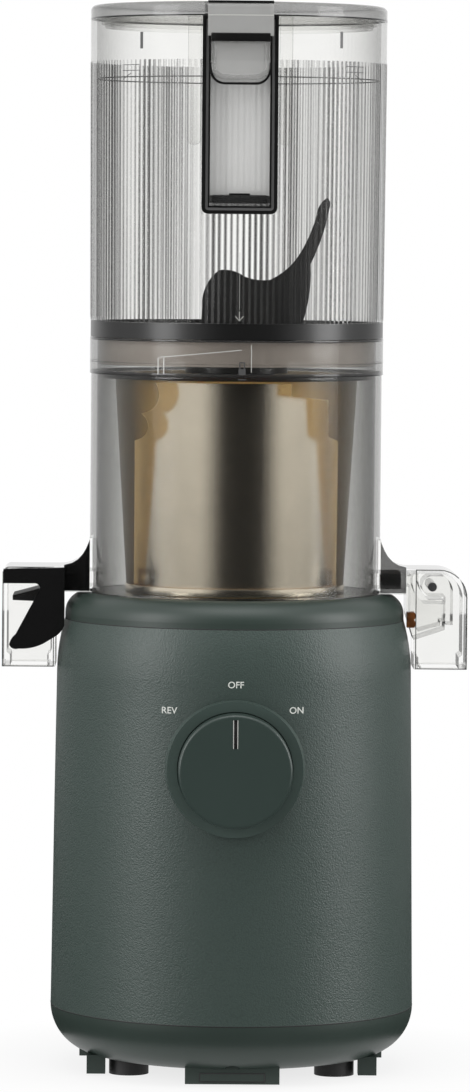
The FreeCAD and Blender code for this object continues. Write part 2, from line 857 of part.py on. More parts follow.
def make_motor():
    """Motor can, laminations, windings, rotor with shaft, bearings and cooling fan."""
    can = body("motor_can")
    inside = size.motor_radius - size.motor_wall
    seat = size.bearing_radius + size.fit_gap
    bearing_low = size.motor_bottom + size.motor_wall
    seat_top = bearing_low + size.bearing_width
    shaft_hole = size.motor_shaft + size.moving_gap
    turned(can, "can_section", [
        (shaft_hole, size.motor_bottom),
        (size.motor_radius, size.motor_bottom),
        (size.motor_radius, size.gearbox_bottom),
        (inside, size.gearbox_bottom),
        (inside, bearing_low),
        (seat + size.motor_wall, bearing_low),
        (seat + size.motor_wall, seat_top),
        (seat, seat_top),
        (seat, bearing_low),
        (shaft_hole, bearing_low),
    ])
    node(can)
    stator_top = size.stator_bottom + size.stator_height
    node(ring("stator_core", size.stator_bore, inside - size.fit_gap, size.stator_bottom, stator_top))
    coils = []
    for name, low in (("winding_low", size.stator_bottom - size.winding_height), ("winding_high", stator_top)):
        coils.append(ring(name, size.stator_bore + 0.6, size.winding_outer, low, low + size.winding_height))
    node(group("stator_windings", coils))
    node(ring("motor_rotor", size.motor_shaft + size.fit_gap, size.rotor_radius, size.stator_bottom, stator_top))
    bearings = []
    upper = size.gearbox_bottom - size.bearing_width + size.gearbox_floor - 1.0
    for name, low in (("bearing_low", bearing_low), ("bearing_high", upper)):
        bearings.append(ring(name, size.motor_shaft + size.running_gap, size.bearing_radius, low,
                             low + size.bearing_width))
    node(group("motor_bearings", bearings))
    first_low = gearbox_inside + size.gear_gap
    shaft = cylinder("motor_shaft_bar", size.motor_shaft, first_low - size.fan_bottom, up=size.fan_bottom)
    pinion = gear("motor_pinion_teeth", PINION_TEETH, size.first_module, size.first_face, 0.0,
                  ZERO, ZERO, first_low)
    node(fused("motor_shaft", [shaft, pinion]))
    hub = cylinder("fan_hub", size.motor_shaft + 4.0, size.fan_height, up=size.fan_bottom)
    plate = cylinder("fan_plate", size.fan_radius, size.fan_blade_width,
                     up=size.fan_bottom + size.fan_height - size.fan_blade_width)
    blades = [hub, plate]
    count = int(size.fan_blades.value)
    for number in range(count):
        blade = box(f"fan_blade_{number}", size.fan_radius - 1.0, size.fan_blade_width, size.fan_height,
                    up=size.fan_bottom)
        blade.Placement.Rotation = FreeCAD.Rotation(FreeCAD.Vector(0, 0, 1), 360 * number / count)
        blades.append(blade)
    bore = cylinder("fan_bore", size.motor_shaft + size.fit_gap, size.fan_height, up=size.fan_bottom)
    return node(cut("cooling_fan", fused("fan_blank", blades), bore))


def gear_outline(teeth, module, phase):
    """Involute outline of a spur gear round the origin; phase is the angle of a tooth's middle."""
    pitch = module * teeth / 2
    base = pitch * math.cos(math.radians(PRESSURE_ANGLE))
    tip = pitch + ADDENDUM * module
    foot = pitch - DEDENDUM * module
    start = max(base, foot)
    involute = math.tan(math.radians(PRESSURE_ANGLE)) - math.radians(PRESSURE_ANGLE)
    half_tooth = math.pi / (2 * teeth) - size.gear_play.value / pitch

    def half_angle(radius):
        steepness = math.acos(min(base / radius, 1))
        return half_tooth + involute - (math.tan(steepness) - steepness)

    points = []
    for tooth in range(teeth):
        middle = phase + 2 * math.pi * tooth / teeth
        radii = [start + (tip - start) * step / (FLANK_POINTS - 1) for step in range(FLANK_POINTS)]
        flank = [(radius, half_angle(radius)) for radius in radii]
        if foot < start:
            flank.insert(0, (foot, half_angle(start)))
        side = [(radius, middle - angle) for radius, angle in flank]
        side += [(radius, middle + angle) for radius, angle in reversed(flank)]
        points += [FreeCAD.Vector(radius * math.cos(a), radius * math.sin(a), 0) for radius, a in side]
    points.append(points[0])
    return Part.Face(Part.makePolygon(points))


def gear(name, teeth, module, face, phase, across, along, low):
    """Toothed wheel as a solid; its size comes from the module and face width in the sheet."""
    item = doc.addObject("Part::Feature", name)
    shape = gear_outline(teeth, module.value, phase).extrude(FreeCAD.Vector(0, 0, face.value))
    item.Shape = shape
    item.Placement = FreeCAD.Placement(FreeCAD.Vector(across.value, along.value, low.value), FreeCAD.Rotation())
    return item


def meshing_phase(direction, driver_teeth, driver_phase, driven_teeth):
    """Phase of a driven gear whose gap faces the driver's tooth on the line between their centres."""
    driver_pitch = 2 * math.pi / driver_teeth
    driven_pitch = 2 * math.pi / driven_teeth
    share = ((driver_phase - direction) / driver_pitch) % 1
    return direction + math.pi + (0.5 - share) * driven_pitch


def shaft_spots():
    """Centres of the two intermediate gear pins, from the three centre distances."""
    first = size.first_module * ((PINION_TEETH + FIRST_TEETH) / 2)
    second = size.second_module * ((SMALL_TEETH + SECOND_TEETH) / 2)
    third = size.third_module * ((SMALL_TEETH + OUTPUT_TEETH) / 2)
    along = (first * first - second * second + third * third) / (third * 2)
    across = root(first * first - along * along)
    return (across, along), (ZERO, third)


def pillar_spots():
    """Centres of the four pillars that hang the gearbox from the top cover."""
    spots = []
    for sign in (-1, 1):
        spots.append((size.pillar_across * sign, -size.pillar_front))
        spots.append((size.pillar_rear_across * sign, size.pillar_rear))
    return spots


def gearbox_block(name, inset, low, height):
    """Three joined discs that follow the gears, drawn in by an inset."""
    (x1, y1), (x2, y2) = shaft_spots()
    tip = size.moving_gap * 2 + size.gearbox_wall
    central = size.third_module * (OUTPUT_TEETH / 2 + ADDENDUM) + tip + size.output_room - inset
    first = size.first_module * (FIRST_TEETH / 2 + ADDENDUM) + tip - inset
    second = size.second_module * (SECOND_TEETH / 2 + ADDENDUM) + tip - inset
    return fused(name, [
        cylinder(name + "_central", central, height, up=low),
        cylinder(name + "_first", first, height, x1, y1, low),
        cylinder(name + "_second", second, height, x2, y2, low),
    ])


def make_gearbox():
    """Gear housing over the motor, its lid with pillars, pins, gears, drive shaft and bearing."""
    (x1, y1), (x2, y2) = shaft_spots()
    bearing_low = size.gearbox_bottom - size.bearing_width + size.gearbox_floor - 1.0
    outer = gearbox_block("housing_outer", ZERO, size.gearbox_bottom, size.gearbox_floor + size.gearbox_height)
    inner = gearbox_block("housing_inner", size.gearbox_wall, gearbox_inside, size.gearbox_height)
    neck = cylinder("bearing_neck", size.bearing_radius + size.gearbox_wall, size.gearbox_bottom - bearing_low,
                    up=bearing_low)
    bores = [
        inner,
        cylinder("upper_bearing_seat", size.bearing_radius + size.fit_gap, size.bearing_width, up=bearing_low),
        cylinder("upper_shaft_hole", size.motor_shaft + size.moving_gap, size.gearbox_floor,
                 up=size.gearbox_bottom),
        cylinder("first_pin_hole", size.pin_radius + size.fit_gap, size.gearbox_floor, x1, y1,
                 size.gearbox_bottom),
        cylinder("second_pin_hole", size.pin_radius + size.fit_gap, size.gearbox_floor, x2, y2,
                 size.gearbox_bottom),
    ]
    node(cut("gearbox_housing", fused("housing_blank", [outer, neck]), fused("housing_bores", bores)))

    bearing_width = size.bearing_width
    hub_radius = size.output_bearing_radius + size.gearbox_wall
    hub_top = gearbox_top + bearing_width
    plate = gearbox_block("gearbox_plate", ZERO, gearbox_top, size.gearbox_lid)
    solids = [plate, cylinder("output_hub", hub_radius, bearing_width, up=gearbox_top)]
    for number, (x, y) in enumerate(pillar_spots(), start=1):
        solids.append(cylinder(f"pillar_{number}", size.pillar_radius, cover_under - gearbox_top, x, y,
                               gearbox_top))
    tools = [
        cylinder("output_seat", size.output_bearing_radius + size.fit_gap, bearing_width, up=gearbox_top),
        cylinder("second_pin_socket", size.pin_radius + size.fit_gap, size.gearbox_lid, x2, y2, gearbox_top),
    ]
    for number, (x, y) in enumerate(pillar_spots(), start=1):
        tools.append(cylinder(f"pillar_bore_{number}", size.screw_radius + size.fit_gap,
                              size.pillar_bore_depth, x, y, cover_under - size.pillar_bore_depth))
    node(cut("gearbox_lid", fused("gearbox_lid_blank", solids), fused("gearbox_lid_tools", tools)))
    node(ring("output_bearing", size.drive_radius + size.running_gap, size.output_bearing_radius, gearbox_top,
              hub_top))

    first_low = gearbox_inside + size.gear_gap
    second_low = first_low + size.first_face + size.gear_gap
    third_low = second_low + size.second_face + size.gear_gap
    first_end = second_low + size.second_face
    pin_low = size.gearbox_bottom + 0.5
    pins = [
        cylinder("first_pin", size.pin_radius, first_end - pin_low, x1, y1, pin_low),
        cylinder("second_pin", size.pin_radius, lid_top_gearbox - pin_low, x2, y2, pin_low),
    ]
    node(group("gear_pins", pins))

    first_direction = math.atan2(y1.value, x1.value)
    first_phase = meshing_phase(first_direction, PINION_TEETH, 0.0, FIRST_TEETH)
    second_direction = math.atan2(y2.value - y1.value, x2.value - x1.value)
    second_phase = meshing_phase(second_direction, SMALL_TEETH, first_phase, SECOND_TEETH)
    output_direction = math.atan2(-y2.value, -x2.value)
    output_phase = meshing_phase(output_direction, SMALL_TEETH, second_phase, OUTPUT_TEETH)

    wheel = gear("first_wheel", FIRST_TEETH, size.first_module, size.first_face, first_phase, x1, y1, first_low)
    small = gear("first_small", SMALL_TEETH, size.second_module, first_end - first_low, first_phase,
                 x1, y1, first_low)
    bore = cylinder("first_gear_bore", size.pin_radius + size.running_gap, first_end - first_low, x1, y1,
                    first_low)
    node(cut("first_reduction_gear", fused("first_gear_blank", [wheel, small]), bore))

    third_end = third_low + size.third_face
    wheel = gear("second_wheel", SECOND_TEETH, size.second_module, size.second_face, second_phase, x2, y2,
                 second_low)
    small = gear("second_small", SMALL_TEETH, size.third_module, third_end - second_low, second_phase,
                 x2, y2, second_low)
    bore = cylinder("second_gear_bore", size.pin_radius + size.running_gap, third_end - second_low, x2, y2,
                    second_low)
    node(cut("second_reduction_gear", fused("second_gear_blank", [wheel, small]), bore))

    wheel = gear("output_wheel", OUTPUT_TEETH, size.third_module, size.third_face, output_phase, ZERO, ZERO,
                 third_low)
    hub = cylinder("output_wheel_hub", size.drive_radius + 5.0, gearbox_top - size.moving_gap - third_low,
                   up=third_low)
    bore = cylinder("output_gear_bore", size.drive_radius + size.fit_gap, gearbox_top - third_low, up=third_low)
    node(cut("output_gear", fused("output_gear_blank", [wheel, hub]), bore))

    shaft = body("drive_shaft")
    round_top = boss_top + size.seal_height
    lower = circles(shaft, "shaft_round", "XY_Plane", [(ZERO, ZERO, size.drive_radius)], third_low)
    feature(shaft, "Pad", lower, Length=round_top - third_low)
    upper = outline(shaft, "shaft_hexagon", "XY_Plane", hexagon_points(size.drive_flats), round_top)
    feature(shaft, "Pad", upper, Length=size.drive_top - round_top)
    node(shaft)
    node(ring("shaft_seal", size.drive_radius + size.running_gap, size.seal_radius, boss_top, round_top))

    screws = []
    depth = size.pillar_screw_depth
    for number, (x, y) in enumerate(pillar_spots(), start=1):
        screws.append(cylinder(f"pillar_screw_{number}", size.screw_radius, depth + size.base_wall, x, y,
                               cover_under - depth))
    return node(group("gearbox_screws", screws))


def make_board():
    """Control board on its standoffs, with the motor's run capacitor."""
    low = floor_top + size.board_rise
    board = box("board_plate", size.board_width, size.board_depth, size.board_thickness,
                size.board_width / -2, size.board_depth / -2, low)
    top = low + size.board_thickness
    relay = box("board_relay", size.relay_width, size.relay_depth, size.relay_height,
                size.board_width / -2 + size.part_inset, size.board_depth / -2 + size.part_inset, top)
    terminals = box("board_terminals", size.terminal_width, size.terminal_depth, size.terminal_height,
                    size.part_inset / 3, size.terminal_place, top)
    node(fused("control_board", [board, relay, terminals]))
    return node(box("run_capacitor", size.capacitor_length, size.capacitor_width, size.capacitor_height,
                    size.capacitor_width * 0.55 - size.capacitor_length / 2, size.capacitor_width * -0.77, top))


def hood_line(sign, corner):
    """Side outline of one outlet hood, from the chamber wall out to the lip and back."""
    reach = hood_reach * sign
    inside = (size.chamber_radius - size.chamber_wall / 2) * sign
    turn = -1 if sign > 0 else 1
    web_end = size.chamber_radius + size.hood_web
    return [
        (inside, size.hood_top + size.hood_web),
        (size.chamber_radius * sign, size.hood_top + size.hood_web),
        (web_end * sign, size.hood_top, size.hood_web * -turn),
        (reach - corner * sign, size.hood_top),
        (reach, size.hood_top - corner, corner * turn),
        (reach, size.hood_bottom),
        (hood_inner * sign, size.hood_bottom),
        (hood_inner * sign, size.hood_inner_top),
        (hood_root * sign, size.hood_root_bottom),
        (hood_root * sign, hood_under),
        (inside, hood_under),
    ]


def make_chamber():
    """Clear chamber with a floor, a centre collar and a hooded outlet on each side."""
    chamber = body("juice_chamber")
    turned(chamber, "chamber_blank", [
        (ZERO, chamber_bottom),
        (size.chamber_radius, chamber_bottom),
        (size.chamber_radius, size.band_bottom),
        (size.band_radius, size.band_bottom + 0.5),
        (size.band_radius, size.chamber_top),
        (ZERO, size.chamber_top),
    ])
    for name, sign, corner in (("juice_hood", -1, size.juice_corner), ("pulp_hood", 1, size.pulp_corner)):
        hood = outline(chamber, name, "XZ_Plane", hood_line(sign, corner))
        feature(chamber, "Pad", hood, Length=size.hood_half_width * 2, SideType="Symmetric")
    turned(chamber, "chamber_hollow", [
        (ZERO, size.collar_top),
        (size.collar_outer, size.collar_top),
        (size.collar_outer, chamber_floor_top),
        (chamber_inner, chamber_floor_top),
        (chamber_inner, size.chamber_top + 1.0),
        (ZERO, size.chamber_top + 1.0),
    ], "Groove")
    hole = circles(chamber, "collar_bore", "XY_Plane", [(ZERO, ZERO, size.collar_inner)])
    feature(chamber, "Pocket", hole, Length=size.chamber_top, Reversed=True)
    ceiling = size.hood_top - size.hood_wall
    outer = hood_reach - size.hood_wall
    below = size.hood_bottom - 1.0
    lip_top = size.hood_bottom + size.lip_height
    root_x = hood_root + size.hood_wall
    inner_x = hood_inner + size.hood_wall
    start = chamber_inner - 2.0
    juice = outline(chamber, "juice_passage", "XZ_Plane", [
        (-start, hood_floor_top),
        (-root_x, hood_floor_top),
        (-root_x, size.hood_root_bottom),
        (-inner_x, size.hood_inner_top),
        (-inner_x, lip_top),
        (-(inner_x + size.lip_inset), lip_top - 1.0),
        (-(inner_x + size.lip_inset), below),
        (-(outer - size.lip_inset), below),
        (-(outer - size.lip_inset), lip_top - 1.0),
        (-outer, lip_top),
        (-outer, ceiling - 1.0),
        (-(outer - 1.0), ceiling, Dim(-1)),
        (-start, ceiling),
    ])
    width = (size.hood_half_width - size.hood_wall) * 2
    feature(chamber, "Pocket", juice, Length=width, SideType="Symmetric")
    inner_corner = size.pulp_corner - size.hood_wall
    pulp = outline(chamber, "pulp_passage", "XZ_Plane", [
        (start, hood_floor_top),
        (hood_root - 0.2, hood_floor_top),
        (hood_root - 0.2, size.hood_root_bottom),
        (hood_inner - 0.2, size.hood_inner_top),
        (hood_inner - 0.2, lip_top),
        (inner_x, lip_top - 1.0),
        (inner_x, below),
        (outer - size.lip_inset, below),
        (outer - size.lip_inset, lip_top - 1.0),
        (outer, lip_top),
        (outer, ceiling - inner_corner),
        (outer - inner_corner, ceiling, inner_corner),
        (start, ceiling),
    ])
    feature(chamber, "Pocket", pulp, Length=width, SideType="Symmetric")
    pins = circles(chamber, "hood_pin_holes", "XZ_Plane", [
        (lever_pivot_x, size.lever_pivot_z, size.lever_pin_radius + size.running_gap),
        (door_pin_x, size.door_pin_z, size.door_pin_radius + size.fit_gap),
    ])
    feature(chamber, "Pocket", pins, Length=size.hood_half_width * 4, SideType="Symmetric")
    return node(chamber)


def flat_piece(name, points, half_width, holes=()):
    """Piece cut from a side outline, equal to both sides of the middle plane."""
    piece = body(name)
    section = outline(piece, name + "_side", "XZ_Plane", points)
    feature(piece, "Pad", section, Length=half_width * 2, SideType="Symmetric")
    if holes:
        bore = circles(piece, name + "_bore", "XZ_Plane", holes)
        feature(piece, "Pocket", bore, Length=half_width * 4, SideType="Symmetric")
    return piece


def make_strainer():
    """Amber frame with open front and rear windows, and the steel screen that it holds."""
    frame = body("strainer_frame")
    inner = size.screen_radius + size.moving_gap
    foot_top = chamber_floor_top + size.strainer_foot_height
    rim_low = size.strainer_top - size.strainer_rim_height
    turned(frame, "strainer_section", [
        (inner, chamber_floor_top),
        (size.strainer_foot, chamber_floor_top),
        (size.strainer_foot, foot_top),
        (size.strainer_rim, rim_low),
        (size.strainer_rim, size.strainer_top),
        (inner, size.strainer_top),
        (inner, rim_low),
        (size.strainer_rim - size.strainer_wall, rim_low),
        (inner, foot_top),
    ])
    half = size.window_half
    window = outline(frame, "strainer_window", "XZ_Plane", [
        (-half, size.window_low),
        (half, size.window_low),
        (half, size.window_step),
        (size.post_edge, size.window_step + size.strainer_wall),
        (size.post_edge, size.window_high - size.band_depth * 1.3),
        (size.band_edge, size.window_high - size.band_depth),
        (size.band_edge, size.window_high),
        (-size.tooth_high, size.window_high),
        (-size.tooth_notch, size.tooth_middle, -size.tooth_bend),
        (-half, size.window_step, -size.tooth_low_bend),
    ])
    feature(frame, "Pocket", window, Length=size.strainer_rim * 4, SideType="Symmetric")
    node(frame)
    return node(ring("strainer_screen", size.screen_radius - size.screen_wall, size.screen_radius,
                     chamber_floor_top, size.strainer_top))


def make_screw():
    """Juicing screw: a cone with one helical flight, a socket for the shaft and a cutting wing on top."""
    screw = body("juicing_screw")
    low = chamber_floor_top + size.moving_gap
    hub = size.collar_inner - size.moving_gap
    skirt = size.collar_outer + size.moving_gap
    cavity = size.collar_top + size.moving_gap
    socket_low = boss_top + size.seal_height + size.moving_gap
    turned(screw, "screw_core", [
        (ZERO, socket_low),
        (hub, socket_low),
        (hub, cavity),
        (skirt, cavity),
        (skirt, low),
        (size.screw_radius_outer - 8.0, low),
        (size.screw_core_low, size.screw_cone_bottom + 6.0),
        (size.screw_core_high, size.screw_top),
        (ZERO, size.screw_top),
    ])
    root_radius = size.screw_core_high - 2.0
    flight = outline(screw, "screw_flight", "XZ_Plane", [
        (root_radius, size.screw_cone_bottom),
        (size.screw_radius_outer, size.screw_cone_bottom + 1.5),
        (size.screw_radius_outer, size.screw_cone_bottom + 1.5 + size.flight_tip),
        (root_radius, size.screw_cone_bottom + size.flight_base),
    ])
    helix = screw.newObject("PartDesign::AdditiveHelix", "screw_flight_helix")
    helix.Profile = flight
    helix.ReferenceAxis = (flight, ["V_Axis"])
    helix.Mode = "pitch-height-angle"
    bind(helix, Pitch=size.flight_pitch, Height=size.flight_rise)
    socket = outline(screw, "screw_socket", "XY_Plane", hexagon_points(size.drive_flats + size.moving_gap * 2),
                     socket_low)
    feature(screw, "Pocket", socket, Length=size.drive_top + size.moving_gap - socket_low, Reversed=True)
    peg = size.wing_peg
    hole = outline(screw, "wing_socket", "XY_Plane", rectangle(-peg - 0.1, peg + 0.1, -peg - 0.1, peg + 0.1),
                   size.screw_top)
    feature(screw, "Pocket", hole, Length=size.wing_disc_height)
    node(screw)

    wing = body("cutting_wing")
    disc = circles(wing, "wing_disc", "XY_Plane", [(ZERO, ZERO, size.wing_disc_radius)], size.screw_top)
    feature(wing, "Pad", disc, Length=size.wing_disc_height)
    square = outline(wing, "wing_peg_section", "XY_Plane", rectangle(-peg, peg, -peg, peg), size.screw_top)
    feature(wing, "Pad", square, Length=size.wing_disc_height - 0.5, Reversed=True)
    base = size.screw_top + size.wing_disc_height - 1.0
    hump = size.wing_hump
    reach = size.wing_reach
    rise = size.wing_top - hump
    blade = outline(wing, "wing_blade", "XZ_Plane", [
        (reach * -0.405, base),
        (reach * -0.38, hump - rise / 2),
        (reach * -0.2, hump, reach * -0.456),
        (reach * 0.076, hump - rise * 0.08, reach * -0.354),
        (reach * 0.354, hump - rise * 0.127, reach * 0.557),
        (reach * 0.658, hump + rise * 0.19, reach * 0.76),
        (reach * 0.873, size.wing_top - rise * 0.16, reach * 1.52),
        (reach * 0.975, size.wing_top, reach * -0.228),
        (reach, size.wing_top - rise * 0.127, reach * -0.101),
        (reach * 0.797, hump + rise * 0.095, reach * -2.28),
        (reach * 0.532, base, reach * -1.77),
    ])
    feature(wing, "Pad", blade, Length=size.wing_thickness, SideType="Symmetric")
    return node(wing)


def make_juice_lever():
    """Black lever in front of the juice hood, with its pin, and the gate it lifts inside the hood."""
    lever = body("juice_lever")
    front = size.hood_half_width + size.moving_gap
    inner = -size.collar_radius
    span = hood_reach - size.outlet_gap - size.collar_radius
    top = size.hood_top
    under = top - size.lever_plate

    def spot(across, down, *bend_radius):
        return (inner - span * (1 - across), top - size.lever_drop * down, *bend_radius)

    profile = outline(lever, "lever_side", "XZ_Plane", [
        spot(0, 0.023),
        (inner - span, under),
        (inner - span * 0.465, under),
        spot(0.605, 0.26, span * -0.116),
        spot(0.2, 0.828),
        spot(0.1, 0.951, span * 0.27),
        spot(0.252, 1, span * 0.116),
        spot(0.736, 0.902, span * 0.775),
        spot(0.853, 0.848),
        spot(1, 0.713, span * 0.35),
        (inner, top),
    ], front)
    feature(lever, "Pad", profile, Length=size.lever_thickness)
    pin = circles(lever, "lever_pin", "XZ_Plane",
                  [(lever_pivot_x, size.lever_pivot_z, size.lever_pin_radius)], -front - 1.5)
    feature(lever, "Pad", pin, Length=front * 2 + 1.5 + size.lever_thickness / 2)
    node(lever)

    x = lever_pivot_x
    z = size.lever_pivot_z
    gate = flat_piece("juice_gate", [
        (x, z - size.gate_hub),
        (x, z + size.gate_hub, -size.gate_hub - 0.001),
        (-gate_reach, z - size.gate_drop + size.gate_thickness),
        (-gate_reach, z - size.gate_drop),
    ], size.gate_half_width, [(x, z, size.lever_pin_radius + size.fit_gap)])
    return node(gate)


def make_outlet_seals():
    """Brown gaskets where each outlet leaves the chamber."""
    seals = []
    for name, sign in (("juice_gasket", -1), ("pulp_gasket", 1)):
        inside = size.chamber_radius * sign + 0.4 * sign
        outside = (size.collar_radius - size.nozzle_wall) * sign
        left, right = (outside, inside) if sign < 0 else (inside, outside)
        piece = body(name)
        low = hood_floor_top
        high = size.hood_top - size.hood_wall
        section = outline(piece, name + "_side", "XZ_Plane", rectangle(left, right, low, high))
        width = (size.hood_half_width - size.hood_wall) * 2
        feature(piece, "Pad", section, Length=width, SideType="Symmetric")
        hole = outline(piece, name + "_hole", "YZ_Plane",
                       rectangle(-(size.hood_half_width - 4.0), size.hood_half_width - 4.0, low + 1.6,
                                 high - 1.6))
        feature(piece, "Pocket", hole, Length=hood_reach * 2, SideType="Symmetric")
        seals.append(piece)
    return node(group("outlet_seals", seals))


def nozzle_line(inset, low, high):
    """Side outline of the pulp nozzle; the inset draws in its walls."""
    face = nozzle_face
    return [
        (hood_root + inset, high),
        (hood_root + inset, size.hood_root_bottom),
        (hood_inner + inset, size.hood_inner_top + inset * 2),
        (face - inset, size.nozzle_floor + inset),
        (face - inset, size.nozzle_shelf - inset - 1.2),
        (face - inset - 1.2, size.nozzle_shelf - inset, Dim(1.2)),
        (nozzle_bend - inset, size.nozzle_shelf - inset),
        (nozzle_throat - inset + 2.0, high, Dim(-12)),
    ]


def make_pulp_outlet():
    """Pulp nozzle, its hinged door on a pin, and the silicone plug in its inner wall."""
    high = size.hood_top - size.hood_wall - 0.2
    nozzle = body("pulp_nozzle")
    side = outline(nozzle, "nozzle_side", "XZ_Plane", nozzle_line(ZERO, ZERO, high))
    feature(nozzle, "Pad", side, Length=size.nozzle_half_width * 2, SideType="Symmetric")
    wall = size.nozzle_wall
    hollow = outline(nozzle, "nozzle_hollow", "XZ_Plane", nozzle_line(wall, ZERO, high + 1.0))
    width = (size.nozzle_half_width - wall) * 2
    feature(nozzle, "Pocket", hollow, Length=width, SideType="Symmetric")
    inlet = outline(nozzle, "nozzle_inlet", "XZ_Plane",
                    rectangle(hood_root - 1.0, hood_root + wall + 0.5, hood_floor_top + 1.0,
                              high - 1.0))
    feature(nozzle, "Pocket", inlet, Length=width, SideType="Symmetric")
    mouth = outline(nozzle, "nozzle_mouth", "XZ_Plane",
                    rectangle(nozzle_face - wall - 0.5, nozzle_face + 1.0, size.nozzle_mouth_low,
                              size.nozzle_mouth_high))
    feature(nozzle, "Pocket", mouth, Length=width, SideType="Symmetric")
    port = outline(nozzle, "plug_port", "XZ_Plane",
                   rectangle(size.chamber_radius, size.plug_outer, size.plug_low, size.plug_high))
    feature(nozzle, "Pocket", port, Length=size.plug_half_width * 2, SideType="Symmetric")
    node(nozzle)

    plug = body("pulp_plug")
    lobe = (size.plug_high - size.plug_low) / 2
    gap = size.seat_gap
    plug_in = hood_root + 0.8
    shape = outline(plug, "plug_side", "XZ_Plane", [
        (plug_in, size.plug_low + gap),
        (size.plug_outer - 1.6, size.plug_low + gap),
        (size.plug_outer - 1.6, size.plug_low + lobe, lobe / 2 + 0.4),
        (size.plug_outer - 1.6, size.plug_high - gap, lobe / 2 + 0.4),
        (plug_in, size.plug_high - gap),
    ])
    feature(plug, "Pad", shape, Length=(size.plug_half_width - gap) * 2, SideType="Symmetric")
    node(plug)

    x = door_pin_x
    z = size.door_pin_z
    inner_face = nozzle_face + size.moving_gap
    outer_face = inner_face + size.door_thickness
    door = flat_piece("pulp_door", [
        (x, z + size.door_knuckle),
        (x, z - size.door_knuckle, size.door_knuckle + 0.001),
        (inner_face, z - size.door_knuckle),
        (inner_face, size.door_bottom),
        (outer_face, size.door_bottom),
        (outer_face, z - 2.0),
        (outer_face - 4.0, z + size.door_knuckle, Dim(8)),
    ], size.door_half_width, [(x, z, size.door_pin_radius + size.running_gap)])
    node(door)
    pin = cylinder("pulp_door_pin", size.door_pin_radius, size.hood_half_width * 2 + 1.0, x,
                   size.hood_half_width + 0.5, z, FRONTWARD)
    return node(pin)


def make_hopper():
    """Clear hopper with its black ring, the front channel, its window and the rear hinge bracket."""
    hopper = body("hopper_shell")
    high_radius = size.hopper_high_radius
    low_radius = high_radius - size.hopper_taper
    turned(hopper, "hopper_section", [
        (low_radius - size.hopper_wall, ring_top),
        (low_radius, ring_top),
        (high_radius, size.hopper_top),
        (high_radius - size.hopper_wall, size.hopper_top),
    ])
    half = size.channel_half + size.seat_gap
    gap = outline(hopper, "channel_gap", "XZ_Plane",
                  rectangle(-half, half, size.channel_bottom - size.seat_gap, size.hopper_top + 1.0),
                  size.channel_back - size.hopper_wall * 2)
    feature(hopper, "Pocket", gap, Length=size.hopper_wall * 8, Reversed=True)
    node(hopper)

    ring_piece = body("hopper_ring")
    inner = skirt_radius - size.skirt_wall
    turned(ring_piece, "ring_section", [
        (inner, ring_bottom - size.skirt_depth),
        (skirt_radius, ring_bottom - size.skirt_depth),
        (skirt_radius, ring_bottom),
        (low_radius, ring_bottom),
        (low_radius, ring_top),
        (inner, ring_top),
    ])
    node(ring_piece)

    channel = body("hopper_channel")
    outer_half = size.channel_half
    inner_half = outer_half - size.channel_rail
    sill = size.channel_bottom + size.channel_sill
    top = size.hopper_top - 0.3
    frame = outline(channel, "channel_frame", "XZ_Plane", [
        (-outer_half, size.channel_bottom + 3.0),
        (-outer_half + 3.0, size.channel_bottom, Dim(3)),
        (outer_half - 3.0, size.channel_bottom),
        (outer_half, size.channel_bottom + 3.0, Dim(3)),
        (outer_half, top),
        (inner_half, top),
        (inner_half, sill),
        (-inner_half, sill),
        (-inner_half, top),
        (-outer_half, top),
    ], size.channel_back)
    feature(channel, "Pad", frame, Length=size.channel_front - size.channel_back)
    node(channel)

    window = body("channel_window")
    pane = outline(window, "window_pane", "XZ_Plane",
                   rectangle(-inner_half + size.fit_gap, inner_half - size.fit_gap, sill + size.fit_gap, top),
                   size.channel_back)
    feature(window, "Pad", pane, Length=size.window_thickness)
    node(window)

    bracket = body("hinge_bracket")
    bracket_top = hinge_height - size.hinge_knuckle - size.moving_gap
    back = size.hinge_back + size.hinge_knuckle
    ear_low = size.hinge_half - size.hinge_ear
    block = outline(bracket, "bracket_block", "YZ_Plane", [
        (high_radius + 0.1, size.bracket_bottom),
        (size.hinge_back - 1.0, size.bracket_bottom),
        (back, size.bracket_bottom + 6.0),
        (back, bracket_top),
        (high_radius + 0.1, bracket_top),
    ])
    feature(bracket, "Pad", block, Length=size.hinge_half * 2, SideType="Symmetric")
    for name, sign in (("left_ear", -1), ("right_ear", 1)):
        middle = (size.hinge_half - size.hinge_ear / 2) * sign
        ear = outline(bracket, name, "YZ_Plane", [
            (size.hinge_back - size.hinge_knuckle, bracket_top - 1.0),
            (back, bracket_top - 1.0),
            (back, hinge_height),
            (size.hinge_back - size.hinge_knuckle, hinge_height, size.hinge_knuckle + 0.001),
        ], middle)
        feature(bracket, "Pad", ear, Length=size.hinge_ear, SideType="Symmetric")
    bore = circles(bracket, "ear_bores", "YZ_Plane",
                   [(size.hinge_back, hinge_height, size.hinge_pin + size.fit_gap)])
    feature(bracket, "Pocket", bore, Length=size.hinge_half * 4, SideType="Symmetric")
    node(bracket)
    return node(cylinder("lid_hinge_pin", size.hinge_pin, size.hinge_half * 2, -size.hinge_half,
                         size.hinge_back, hinge_height, RIGHTWARD))


